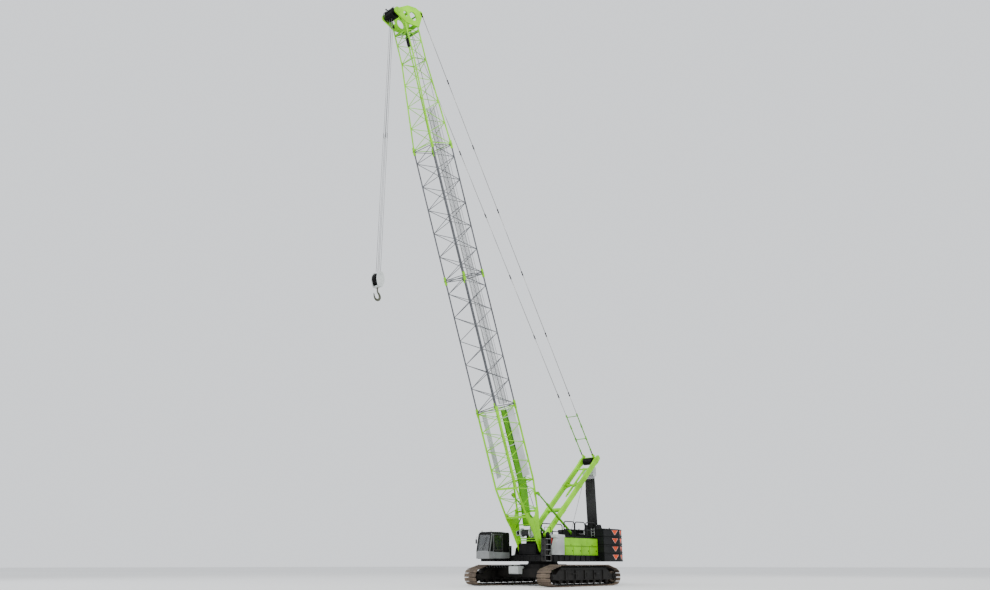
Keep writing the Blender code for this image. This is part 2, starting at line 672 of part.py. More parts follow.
def cab():
    """The cab on the machine's right: shell, sliding door, windows, seat and the bracket that carries it."""
    width = CAB_LEFT - CAB_RIGHT
    middle = (CAB_LEFT + CAB_RIGHT) / 2
    door_low, door_high = CAB_FRONT + 0.42, CAB_FRONT + 1.27
    rail_top = CAB_BOTTOM + 0.075
    rail = box((CAB_LEFT - 0.02, door_low - 0.08, rail_top - 0.035), (CAB_LEFT + 0.05, CAB_REAR, rail_top))
    shell = node("cab_shell", plate(cab_outline(), width, middle), "grey_paint")
    combine(shell, [rail], "UNION")
    sill = CAB_BOTTOM + CAB_SILL
    head = CAB_TOP - 0.16
    front_high = (CAB_FRONT + CAB_RAKE + 0.3, head)
    window = [(CAB_FRONT + 0.14, sill), (CAB_REAR - 0.2, sill), (CAB_REAR - 0.2, head), front_high]
    doorway = [(door_low, CAB_BOTTOM + 0.12), (door_high, CAB_BOTTOM + 0.12), (door_high, head), (door_low, head)]
    cuts = [plate(cab_outline(CAB_WALL), width - 2 * CAB_WALL, middle),
            plate(window, 3 * CAB_WALL, CAB_RIGHT),
            plate(doorway, 3 * CAB_WALL, CAB_LEFT),
            box((CAB_RIGHT + 0.1, CAB_FRONT - 0.1, sill + 0.03), (CAB_LEFT - 0.1, CAB_FRONT + 0.35, head)),
            box((CAB_RIGHT + 0.15, CAB_REAR - 0.1, sill + 0.2), (CAB_LEFT - 0.15, CAB_REAR + 0.1, head))]
    rear_side = [(door_high + 0.1, sill), (CAB_REAR - 0.14, sill), (CAB_REAR - 0.28, head), (door_high + 0.1, head)]
    cuts.append(plate(rear_side, 3 * CAB_WALL, CAB_LEFT))
    combine(shell, cuts, "DIFFERENCE")
    slope = CAB_RAKE / (CAB_TOP - 0.12 - sill)
    low_y, high_y = CAB_FRONT + slope * 0.04, CAB_FRONT + slope * (head - sill)
    pane = [(low_y + 0.02, sill + 0.03 + GAP), (low_y + 0.04, sill + 0.03 + GAP),
            (high_y + 0.04, head - GAP), (high_y + 0.02, head - GAP)]
    node("windscreen", plate(pane, width - 0.2 - 2 * GAP, middle), "glass")
    side_pane = [(y + (0.0004 if y < -2 else -0.0004), z + (0.0004 if z < sill + 0.1 else -0.0004)) for y, z in window]
    node("cab_side_glass", plate(side_pane, 0.012, CAB_RIGHT + CAB_WALL / 2), "glass")
    node("cab_rear_glass", box((CAB_RIGHT + 0.15 + GAP, CAB_REAR - 0.036, sill + 0.2 + GAP),
                               (CAB_LEFT - 0.15 - GAP, CAB_REAR - 0.024, head - GAP)), "glass")
    slide = axis_frame("cab_door_axis", 0, 0)
    lap = 0.05
    foot = rail_top + GAP
    leaf = [(door_low - lap, foot), (door_high + lap, foot),
            (door_high + lap, head + lap), (door_low - lap, head + lap)]
    opening = [(door_low + 0.03, sill + 0.1), (door_high - 0.03, sill + 0.1), (door_high - 0.03, head - 0.03),
               (door_low + 0.03, head - 0.03)]
    door_x = CAB_LEFT + RUNNING / 2 + 0.02
    door = node("cab_door", plate(leaf, 0.04, door_x), "grey_paint", slide)
    combine(door, [plate(opening, 0.2, door_x)], "DIFFERENCE")
    glazing = [(door_low + 0.03 + GAP, sill + 0.1 + GAP), (door_high - 0.03 - GAP, sill + 0.1 + GAP),
               (door_high - 0.03 - GAP, head - 0.03 - GAP), (door_low + 0.03 + GAP, head - 0.03 - GAP)]
    node("cab_door_glass", plate(glazing, 0.012, door_x), "glass", slide)
    floor = CAB_BOTTOM + CAB_WALL + GAP
    seat = [box((middle - 0.24, -2.35, floor + 0.3), (middle + 0.24, -1.85, floor + 0.46)),
            box((middle - 0.15, -2.25, floor), (middle + 0.15, -1.95, floor + 0.35)),
            bar((middle, -1.9, floor + 0.35), (middle, -1.72, floor + 1.1), 0.46, 0.12)]
    built("cab_seat", seat, "cloth")
    back = CAB_REAR + GAP
    deck_side = -FRONT_HALF - GAP
    carrier = [box((CAB_RIGHT + 0.1, CAB_FRONT + 0.35, DECK_BOTTOM), (CAB_LEFT - 0.05, back + 0.3, CAB_BOTTOM - GAP)),
               box((CAB_RIGHT + 0.1, back, DECK_BOTTOM), (deck_side, back + 0.3, 1.88)),
               box((CAB_LEFT - 0.24, back, DECK_BOTTOM + 0.3), (CAB_LEFT - 0.06, back + 0.3, 2.5))]
    built("cab_bracket", carrier, "black")


# ---------------------------------------------------------------- boom
def corners(width, depth, shift=0.0):
    """A lattice section's four chords in running order, (x, y), moved back by a shift."""
    front, rear = shift - depth / 2, shift + depth / 2
    return [(-width / 2, front), (width / 2, front), (width / 2, rear), (-width / 2, rear)]


def lattice(low, high, sizes_low, sizes_high=None, diagonals=None):
    """Chords, end frames and zigzag lacing between two heights. Neighbouring faces start on opposite chords."""
    feet, tops = corners(*sizes_low), corners(*(sizes_high or sizes_low))
    solids = [bar((*foot, low), (*top, high), CHORD) for foot, top in zip(feet, tops)]

    def chord_point(index, height):
        share = (height - low) / (high - low)
        return Vector((*feet[index], low)).lerp(Vector((*tops[index], high)), share)

    ring_low, ring_high = low + 0.12, high - 0.12
    count = diagonals or round((high - low) / LACING_STEP)
    step = (ring_high - ring_low) / count
    for face in range(4):
        pair = (face, (face + 1) % 4)
        for height in (ring_low, ring_high):
            solids.append(bar(chord_point(pair[0], height), chord_point(pair[1], height), LACING * 1.15,
                              across=(0, 0, 1)))
        for number in range(count):
            start = pair[(number + face) % 2]
            end = pair[(number + face + 1) % 2]
            base = ring_low + number * step
            solids.append(bar(chord_point(start, base + 0.09), chord_point(end, base + step - 0.09), LACING,
                              across=(0, 0, 1)))
    return solids


def boom_base(frame):
    """The foot section: plated legs, a tapering part and a straight laced part."""
    half_width, half_depth = BOOM_WIDTH / 2, BOOM_DEPTH / 2
    spread = half_depth * BASE_PLATE / BASE_FULL
    solids = lattice(BASE_FULL, BASE_LENGTH - GAP, (BOOM_WIDTH, BOOM_DEPTH))
    for side in (-1, 1):
        x = side * half_width
        leg = arc((0, 0), 0.19, 180, 360, 8)
        leg += [(0.2, 0.35), (spread + 0.08, BASE_PLATE), (-spread - 0.08, BASE_PLATE), (-0.2, 0.35)]
        solids.append(plate(leg, FOOT_THICKNESS, x))
        for rear in (-1, 1):
            solids.append(bar((x, rear * spread, BASE_PLATE - 0.1), (x, rear * half_depth, BASE_FULL + 0.02),
                              0.16, 0.16))
        solids.append(bar((x, -spread, BASE_PLATE), (x, half_depth, BASE_FULL), LACING * 1.3, across=(0, 0, 1)))
    for height, offset in ((0.82, 0.1), (BASE_PLATE - 0.12, spread - 0.08)):
        for rear in (-1, 1):
            solids.append(bar((-half_width, rear * offset, height), (half_width, rear * offset, height), 0.09,
                              across=(0, 0, 1)))
    solids.append(bar((-half_width, half_depth, BASE_FULL), (half_width, spread, BASE_PLATE), LACING * 1.3,
                      across=(0, 0, 1)))
    built("boom_base", solids, "green", frame)


def boom_top(frame):
    """The top section: a straight laced part that narrows into a plated head with its sheave and pendant lugs."""
    start = BASE_LENGTH + 2 * INSERT_LENGTH
    neck = BOOM_HEAD_Z - 2.0
    solids = lattice(start, neck, (BOOM_WIDTH, BOOM_DEPTH))
    solids += lattice(neck - 0.05, BOOM_HEAD_Z, (BOOM_WIDTH, BOOM_DEPTH), (HEAD_WIDTH, HEAD_DEPTH, HEAD_SHIFT), 2)
    y, z = HEAD_SHEAVE_AT
    lug_y, lug_z = HEAD_LUG_AT
    head = BOOM_HEAD_Z
    outline = [(HEAD_SHIFT - HEAD_DEPTH / 2 - 0.06, head - 0.1), (HEAD_SHIFT + HEAD_DEPTH / 2 + 0.06, head - 0.1),
               (lug_y - 0.05, head + lug_z - 0.5)]
    outline += arc((lug_y, head + lug_z), 0.16, -60, 120, 5)
    outline += [(lug_y - 0.4, head + HEAD_HEIGHT - 0.05), (0.2, head + HEAD_HEIGHT)]
    outline += arc((y, head + z), 0.3, 60, 200, 6)
    for side in (-1, 1):
        solids.append(plate(outline, HEAD_PLATE, side * HEAD_PLATE_X))
    reach = HEAD_PLATE_X
    for place_y, place_z, size in ((0.55, 0.35, 0.3), (0.6, HEAD_HEIGHT - 0.25, 0.22)):
        solids.append(bar((-reach, place_y, head + place_z), (reach, place_y, head + place_z), size, size,
                          across=(0, 0, 1)))
    solids.append(rod_x(-reach, reach, lug_y, head + lug_z, 0.06, 10))
    for side in (-1, 1):
        solids.append(rod_x(side * (HEAD_SHEAVES / 2 + GAP), side * reach, y, head + z, 0.1, 12))
    built("boom_top", solids, "green", frame)


def head_sheaves(frame):
    """The sheaves on the head's front shaft, as one turned piece."""
    y, z = HEAD_SHEAVE_AT
    axle = axis_frame("head_sheave_axis", y, BOOM_HEAD_Z + z, 0, 0, frame)
    sheaves("head_sheaves", 4, HEAD_SHEAVES, HEAD_SHEAVE_RADIUS, axle)


def sheaves(name, count, length, radius, parent, location=(0, 0, 0), finish="black"):
    """Sheaves side by side on one hub."""
    pitch = length / count
    profile = [(0, length / 2), (radius * 0.45, length / 2)]
    for number in range(count):
        middle = length / 2 - (number + 0.5) * pitch
        rim = pitch * 0.38
        profile += [(radius * 0.45, middle + rim), (radius, middle + rim), (radius, middle - rim),
                    (radius * 0.45, middle - rim)]
    profile += [(radius * 0.45, -length / 2), (0, -length / 2)]
    return turned(name, profile, finish, parent, location, 16)


def boom():
    """Four sections pinned end to end, and the head's sheaves."""
    frame = axis_frame("boom_foot_axis", FOOT_Y, FOOT_Z, BOOM_TILT)
    boom_base(frame)
    for number in range(2):
        low = BASE_LENGTH + number * INSERT_LENGTH
        built(f"boom_insert_{number + 1}", lattice(low, low + INSERT_LENGTH - GAP, (BOOM_WIDTH, BOOM_DEPTH)),
              "boom_grey", frame)
    boom_top(frame)
    head_sheaves(frame)
    return frame


# ---------------------------------------------------------------- mast and stays
def mast():
    """Two box legs with cross tubes, and the sheaves between them at the tip."""
    frame = axis_frame("mast_axis", MAST_Y, MAST_Z, MAST_TILT)
    width, depth = MAST_LEG
    half = MAST_SPREAD / 2
    sheave_at = MAST_LENGTH - MAST_SHEAVE_BACK
    solids = []
    for side in (-1, 1):
        solids.append(bar((side * half, 0, 0), (side * half, 0, MAST_LENGTH), width, depth))
    for height, size in ((2.6, 0.2), (5.4, 0.16)):
        solids.append(bar((-half, 0, height), (half, 0, height), size, sides=8, across=(0, 1, 0)))
    solids.append(bar((-half, 0, MAST_LENGTH - 0.12), (half, 0, MAST_LENGTH - 0.12), 0.2, sides=8, across=(0, 1, 0)))
    lug_y, lug_z = MAST_LUG[0], MAST_LENGTH + MAST_LUG[1]
    lug = [(0.05, MAST_LENGTH - 0.2), (0.05, MAST_LENGTH - 0.05), (lug_y + 0.02, lug_z + 0.1)]
    lug += arc((lug_y, lug_z), 0.1, 80, 280, 6)
    for side in (-1, 1):
        solids.append(plate(lug, 0.05, side * MAST_LUG_X))
        solids.append(rod_x(side * half - width / 2, side * half + width / 2, 0, 0, depth / 2, 16))
        solids.append(rod_x(side * (MAST_SHEAVES / 2 + GAP), side * half, 0, sheave_at, 0.07, 10))
    built("mast", solids, "green", frame)
    axle = axis_frame("mast_sheave_axis", 0, sheave_at, 0, 0, frame)
    sheaves("mast_sheaves", 6, MAST_SHEAVES, MAST_SHEAVE_RADIUS, axle)
    return frame


def in_world(frame, point):
    """A point of a frame, in the crane's own coordinates."""
    bpy.context.view_layer.update()
    return frame.matrix_world @ Vector(point)


def between(name, start, end):
    """An empty at start whose Z axis points at end. Both lie in an upright plane along the machine."""
    along = end - start
    return axis_frame(name, start.y, start.z, atan2(-along.y, along.z)), along.length


def pendants(boom_frame, mast_frame):
    """The two stays from the boom's head to the mast's tip, held apart by spreader bars."""
    lug_y, lug_z = HEAD_LUG_AT
    upper = in_world(boom_frame, (0, lug_y, BOOM_HEAD_Z + lug_z))
    lower = in_world(mast_frame, (0, MAST_LUG[0], MAST_LENGTH + MAST_LUG[1]))
    frame, length = between("pendant_axis", upper, lower)
    half = MAST_LUG_X + 0.025 + PENDANT_THICKNESS / 2 + RUNNING / 2
    reach = HEAD_PLATE_X + HEAD_PLATE / 2 + GAP + PENDANT_THICKNESS / 2
    solids = []
    for side in (-1, 1):
        solids.append(bar((side * reach, 0, -0.1), (side * reach, 0, PENDANT_LINK), PENDANT_THICKNESS, 0.12))
        solids.append(bar((side * reach, 0, PENDANT_LINK - 0.1), (side * half, 0, length - PENDANT_LINK + 0.1),
                          PENDANT_THICKNESS * 0.8))
        solids.append(bar((side * half, 0, length - PENDANT_LINK), (side * half, 0, length + 0.09),
                          PENDANT_THICKNESS, 0.12))
    for height in (length - 1.35, length - 3.2):
        share = (height - PENDANT_LINK) / (length - 2 * PENDANT_LINK)
        spread = reach + (half - reach) * share
        solids.append(bar((-spread, 0, height), (spread, 0, height), PENDANT_THICKNESS * 0.6, across=(0, 1, 0)))
    built("pendants", solids, "green", frame)


def luffing_ropes(mast_frame):
    """Three sets of parallel ropes that run past each other between the lower block and the mast."""
    start = Vector((0, LUFF_Y, LUFF_Z))
    end = in_world(mast_frame, (0, 0, MAST_LENGTH - MAST_SHEAVE_BACK))
    frame, length = between("luffing_rope_axis", start, end)
    seat = (LUFF_PIN ** 2 - (ROPE / 2) ** 2) ** 0.5
    reach = length - LUFF_SET_LENGTH - MAST_SHEAVE_RADIUS - ROPE_END_GAP - seat
    names = ("luffing_ropes_lower", "luffing_ropes_middle", "luffing_ropes_upper")
    for number, name in enumerate(names):
        low = seat + GAP + number * reach / 2
        y = (number - 1) * (ROPE + GAP)
        solids = []
        for rope in range(LUFF_ROPES):
            x = (rope - (LUFF_ROPES - 1) / 2) * ROPE_PITCH
            solids.append(bar((x, y, low), (x, y, low + LUFF_SET_LENGTH), ROPE))
        tie = low + 0.03 if number < 2 else low + LUFF_SET_LENGTH - 0.03
        span = (LUFF_ROPES - 1) / 2 * ROPE_PITCH
        solids.append(bar((-span, y, tie), (span, y, tie), ROPE, ROPE * 1.6, across=(0, 1, 0)))
        built(name, solids, "rope", frame)


def backstops(boom_frame):
    """A telescoping strut on each side, from the deck to the boom's back chords, tied across."""
    foot = Vector((0, *BACKSTOP_FOOT))
    head = in_world(boom_frame, (0, BOOM_DEPTH / 2 * BACKSTOP_HEAD / BASE_FULL, BACKSTOP_HEAD))
    frame, length = between("backstop_axis", foot, head)
    tubes, rods, bores = [], [], []
    for side in (-1, 1):
        x = side * BACKSTOP_X
        tubes.append(bar((x, 0, -0.04), (x, 0, BACKSTOP_TUBE_LENGTH), 2 * BACKSTOP_TUBE, sides=12))
        rods.append(bar((x, 0, 1.2), (x, 0, length + 0.07), 2 * BACKSTOP_ROD, sides=10))
        bores.append(bar((x, 0, 0.7), (x, 0, length), 2 * (BACKSTOP_ROD + 2 * GAP), sides=10))
    tubes.append(rod_x(-BACKSTOP_X, BACKSTOP_X, 0, 0.35, 0.04, 8))
    rods.append(rod_x(-BACKSTOP_X, BACKSTOP_X, BACKSTOP_TIE, length, 0.035, 8))
    for side in (-1, 1):
        rods.append(bar((side * BACKSTOP_X, 0, length), (side * BACKSTOP_X, BACKSTOP_TIE, length), 0.06))
    built("backstop_tubes", tubes, "green", frame, bores)
    built("backstop_rods", rods, "green", frame)


# ---------------------------------------------------------------- hoist
def hoist(boom_frame):
    """Four falls of rope in an upper and a lower half, the hook block, its sheaves and the hook."""
    y, z = HEAD_SHEAVE_AT
    axle = in_world(boom_frame, (0, y, BOOM_HEAD_Z + z))
    frame = axis_frame("hoist_axis", axle.y, axle.z)
    fall = HEAD_SHEAVE_RADIUS + ROPE / 2 + GAP
    halves = (("hoist_ropes_upper", 0.0, -HOIST_HALF, HOIST_X, -0.6),
              ("hoist_ropes_lower", BLOCK_TOP - axle.z + HOIST_HALF, BLOCK_TOP - axle.z + GAP,
               HOIST_X + ROPE + GAP, BLOCK_TOP - axle.z + 0.05))
    for name, top, bottom, x, tie in halves:
        solids = []
        for side in (-1, 1):
            for rear in (-1, 1):
                solids.append(bar((side * x, rear * fall, bottom), (side * x, rear * fall, top), ROPE))
            solids.append(bar((side * x, -fall, tie), (side * x, fall, tie), ROPE, across=(0, 0, 1)))
        solids.append(bar((-x, 0, tie), (x, 0, tie), ROPE, across=(0, 0, 1)))
        built(name, solids, "rope", frame)
    block = BLOCK_TOP - axle.z
    axle_z = block - 0.45
    cheek = [(-0.42, block), (0.42, block), (0.42, block - 0.6), (0.16, block - 1.0), (-0.16, block - 1.0),
             (-0.42, block - 0.6)]
    solids = [plate(cheek, 0.05, side * 0.24) for side in (-1, 1)]
    solids.append(box((-0.24, -0.13, block - 1.0), (0.24, 0.13, block - 0.86)))
    solids.append(box((-0.24, -0.42, block - 0.06), (0.24, 0.42, block)))
    for side in (-1, 1):
        solids.append(rod_x(side * (0.16 + GAP), side * 0.24, 0, axle_z, 0.07, 10))
    built("hook_block", solids, "pale_grey", frame)
    axle_frame = axis_frame("hook_sheave_axis", 0, axle_z, 0, 0, frame)
    sheaves("hook_sheaves", 2, 0.32, BLOCK_SHEAVE_RADIUS, axle_frame)
    top = block - 1.0 - GAP
    centre = (0.0, top - 0.55)
    outline = [(0.07, top)] + arc(centre, 0.29, 70, -200, 15) + arc(centre, 0.15, -200, 100, 15)
    outline += [(-0.07, centre[1] + 0.22), (-0.07, top)]
    node("hook", plate(outline, 0.14, 0), "black", frame)


undercarriage()
upperworks()
cab()
winch("hoist_drum", HOIST_WINCH, 0.26, "pale_grey")
winch("luffing_drum", LUFF_WINCH, 0.26, "steel")
boom_axis = boom()
mast_axis = mast()
pendants(boom_axis, mast_axis)
luffing_ropes(mast_axis)
backstops(boom_axis)
hoist(boom_axis)
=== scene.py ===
"""Looks of a crawler crane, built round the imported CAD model.

Metres, +Z up, the ground at z = 0, the machine facing -Y, so that +X is its left-hand side. Boom, mast,
struts and ropes are drawn upright in frames of their own and turned to the angles at which they rest.
"""

import sys

import json
import logging
from collections.abc import Iterable, Sequence
from dataclasses import dataclass, field
from enum import Enum
from math import atan2, cos, hypot, pi, radians, sin, tau

import bmesh
import bpy
from mathutils import Matrix, Vector


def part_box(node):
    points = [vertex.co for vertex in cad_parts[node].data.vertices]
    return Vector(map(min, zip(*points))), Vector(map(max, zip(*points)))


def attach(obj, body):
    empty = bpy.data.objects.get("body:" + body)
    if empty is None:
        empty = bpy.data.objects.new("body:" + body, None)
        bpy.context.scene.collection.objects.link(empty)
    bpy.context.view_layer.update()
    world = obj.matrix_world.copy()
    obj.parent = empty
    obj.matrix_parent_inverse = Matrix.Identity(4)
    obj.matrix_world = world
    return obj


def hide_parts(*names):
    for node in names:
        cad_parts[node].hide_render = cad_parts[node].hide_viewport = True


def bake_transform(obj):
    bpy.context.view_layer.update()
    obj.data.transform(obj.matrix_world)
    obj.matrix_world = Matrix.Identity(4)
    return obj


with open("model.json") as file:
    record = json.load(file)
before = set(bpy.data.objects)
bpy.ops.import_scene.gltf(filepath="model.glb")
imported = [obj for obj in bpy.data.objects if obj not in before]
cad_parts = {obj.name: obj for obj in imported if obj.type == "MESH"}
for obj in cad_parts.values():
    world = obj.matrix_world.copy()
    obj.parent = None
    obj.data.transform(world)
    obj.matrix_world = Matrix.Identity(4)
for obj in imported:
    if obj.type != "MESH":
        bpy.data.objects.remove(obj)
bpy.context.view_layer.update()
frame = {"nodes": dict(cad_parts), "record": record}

LOG = logging.getLogger("crane")
Point = Sequence[float]
Outline = list[tuple[float, float]]
ALONG_X = Matrix(((0, 0, 1, 0), (1, 0, 0, 0), (0, 1, 0, 0), (0, 0, 0, 1)))


class Side(Enum):
    """The machine's two sides, with the sign of X on each."""

    LEFT = 1
    RIGHT = -1

    @property
    def word(self) -> str:
        """The side's name in piece names."""
        return self.name.lower()


class Grain(Enum):
    """What the surface of a finish is like."""

    PAINT = "paint"
    CAST = "cast"
    ROPE = "rope"
    TREAD = "tread"
    CLOTH = "cloth"
    GLASS = "glass"


def pivot(joint: str) -> Vector:
    """Where a joint's axis passes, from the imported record.

    Args:
        joint: the joint's name.

    Returns:
        A point on its axis, in metres.
    """
    for entry in frame["record"]["behaviour"]["joints"]:
        if entry["name"] == joint:
            return Vector(entry["pos_m"])
    raise KeyError(joint)


def leaning(place: Vector, degrees: float) -> Matrix:
    """A frame on a joint whose Z axis leans towards -Y.

    Args:
        place: the frame's origin.
        degrees: how far its Z axis leans forward from upright.

    Returns:
        The frame's matrix.
    """
    return Matrix.Translation(place) @ Matrix.Rotation(radians(degrees), 4, "X")


def aimed(start: Vector, end: Vector) -> tuple[Matrix, float]:
    """A frame at start whose Z axis points at end, both in one upright plane along the machine.

    Args:
        start: the frame's origin.
        end: the point aimed at.

    Returns:
        The frame's matrix and the distance.
    """
    along = end - start
    return leaning(start, atan2(-along.y, along.z) * 180 / pi), along.length


def arc(centre: Point, radius: float, start: float, end: float, steps: int) -> Outline:
    """Points on an arc.

    Args:
        centre: the arc's centre.
        radius: its radius.
        start: its first angle in degrees.
        end: its last angle in degrees.
        steps: the number of chords along it.

    Returns:
        The points, both ends included.
    """
    angles = [radians(start + (end - start) * step / steps) for step in range(steps + 1)]
    return [(centre[0] + radius * cos(a), centre[1] + radius * sin(a)) for a in angles]


def rounded(low: Point, high: Point, radius: float, steps: int = 4) -> Outline:
    """A rectangle with rounded corners.

    Args:
        low: its lowest corner.
        high: its highest corner.
        radius: the corners' radius.
        steps: the number of chords in each corner.

    Returns:
        The outline, anticlockwise.
    """
    points: Outline = []
    corners = ((high[0], high[1], 0), (low[0], high[1], 90), (low[0], low[1], 180), (high[0], low[1], 270))
    for x, y, angle in corners:
        centre = (x - radius if x == high[0] else x + radius, y - radius if y == high[1] else y + radius)
        points += arc(centre, radius, angle, angle + 90, steps)
    return points


# ---------------------------------------------------------------- finishes
@dataclass(frozen=True)
class Finish:
    """One finish of the crane: a weathered, procedural surface.

    Attributes:
        name: the finish's own name.
        slot: the record's material slot that it stands for; not used.
        colour: its clean colour.
        dust: the colour of what lies on it.
        dusty: the share of the surface that dust covers.
        rough: roughness of the clean surface.
        metal: how metallic it is.
        grain: the kind of surface.
        bump: the depth of its relief, in metres.
        chips: the share of the surface where paint is worn through.
        shine: how much the surface mirrors, 0.5 being an enamel.
    """

    name: str
    slot: str
    colour: tuple[float, float, float]
    dust: tuple[float, float, float] = (0.30, 0.26, 0.21)
    dusty: float = 0.25
    rough: float = 0.4
    metal: float = 0.0
    grain: Grain = Grain.PAINT
    bump: float = 0.001
    chips: float = 0.0
    shine: float = 0.5

    def make(self) -> bpy.types.Material:
        """Build the material, once.

        Returns:
            The material, the same one each time.
        """
        found = bpy.data.materials.get("look_" + self.name)
        if found:
            return found
        made = bpy.data.materials.new("look_" + self.name)
        made.use_nodes = True
        weave = Weave(made.node_tree)
        weave.shader.inputs["Metallic"].default_value = self.metal
        weave.shader.inputs["Specular IOR Level"].default_value = self.shine
        if self.grain is Grain.GLASS:
            self._glaze(weave)
            return made
        tone = self._tone(weave)
        cover = self._cover(weave)
        weave.join(weave.blend(cover, tone, (*self.dust, 1)), "Base Color")
        weave.join(weave.span(cover, 0, 1, self.rough, min(0.95, self.rough + 0.4)), "Roughness")
        self._relief(weave)
        return made

    def _glaze(self, weave: "Weave") -> None:
        """Dark window glass: clear enough to see into, with a film of dust.

        Args:
            weave: the material's node helper.
        """
        film = weave.noise(3.0, 4)
        tint = weave.blend(weave.span(film, 0.45, 0.75, 0, self.dusty), (*self.colour, 1), (*self.dust, 1))
        weave.join(tint, "Base Color")
        weave.join(weave.span(film, 0.3, 0.8, self.rough, self.rough + 0.12), "Roughness")
        weave.join(weave.span(film, 0.3, 0.8, 0.74, 0.84), "Alpha")

    def _tone(self, weave: "Weave") -> bpy.types.NodeSocket:
        """The clean colour with broad and fine variation, and chips where it is worn.

        Args:
            weave: the material's node helper.

        Returns:
            The colour's socket.
        """
        dark = tuple(part * 0.72 for part in self.colour) + (1,)
        pale = tuple(min(1.0, part * 1.2 + 0.002) for part in self.colour) + (1,)
        tone = weave.blend(weave.span(weave.noise(0.7, 3), 0.35, 0.7, 0, 1), dark, pale)
        fine = weave.span(weave.noise(14.0, 6), 0.3, 0.75, 0, 0.35)
        tone = weave.blend(fine, tone, dark)
        if self.grain is Grain.ROPE:
            tone = weave.blend(weave.span(weave.strands(), 0.1, 0.7, 0.75, 0), tone,
                               (0.012, 0.012, 0.012, 1))
        if self.chips:
            edge = 0.72 - self.chips * 0.2
            worn = weave.span(weave.noise(22.0, 8, 0.7), edge, edge + 0.03, 0, 0.9)
            tone = weave.blend(worn, tone, (0.16, 0.09, 0.05, 1))
        return tone

    def _cover(self, weave: "Weave") -> bpy.types.NodeSocket:
        """How much dust lies at each point: more low down, on top faces and in runs down the sides.

        Args:
            weave: the material's node helper.

        Returns:
            A value from 0 to 1.
        """
        low = weave.span(weave.height(), 0.2, 3.2, 0.5, 0.0)
        up = weave.span(weave.facing_up(), 0.6, 1.0, 0.0, 0.35)
        runs = weave.span(weave.noise(5.0, 5, 0.6, (1, 1, 0.08)), 0.48, 0.78, 0.0, 0.45)
        patch = weave.span(weave.noise(1.7, 7, 0.62), 0.42, 0.72, 0.0, 0.55)
        total = weave.sum(weave.sum(low, up), weave.sum(runs, patch))
        return weave.span(total, 0.25, 1.5, 0.0, min(1.0, self.dusty * 1.9))

    def _relief(self, weave: "Weave") -> None:
        """The surface's relief, by its grain.

        Args:
            weave: the material's node helper.
        """
        if self.grain is Grain.PAINT:
            relief = weave.sum(weave.scaled(weave.noise(1.3, 2), 1.0),
                               weave.scaled(weave.noise(90.0, 2), 0.12))
        elif self.grain is Grain.CAST:
            relief = weave.sum(weave.noise(11.0, 6, 0.7), weave.scaled(weave.noise(70.0, 3), 0.5))
        elif self.grain is Grain.ROPE:
            relief = weave.strands()
        elif self.grain is Grain.TREAD:
            relief = weave.studs()
        else:
            relief = weave.sum(weave.noise(160.0, 2), weave.scaled(weave.noise(9.0, 2), 0.6))
        weave.raise_by(relief, self.bump)


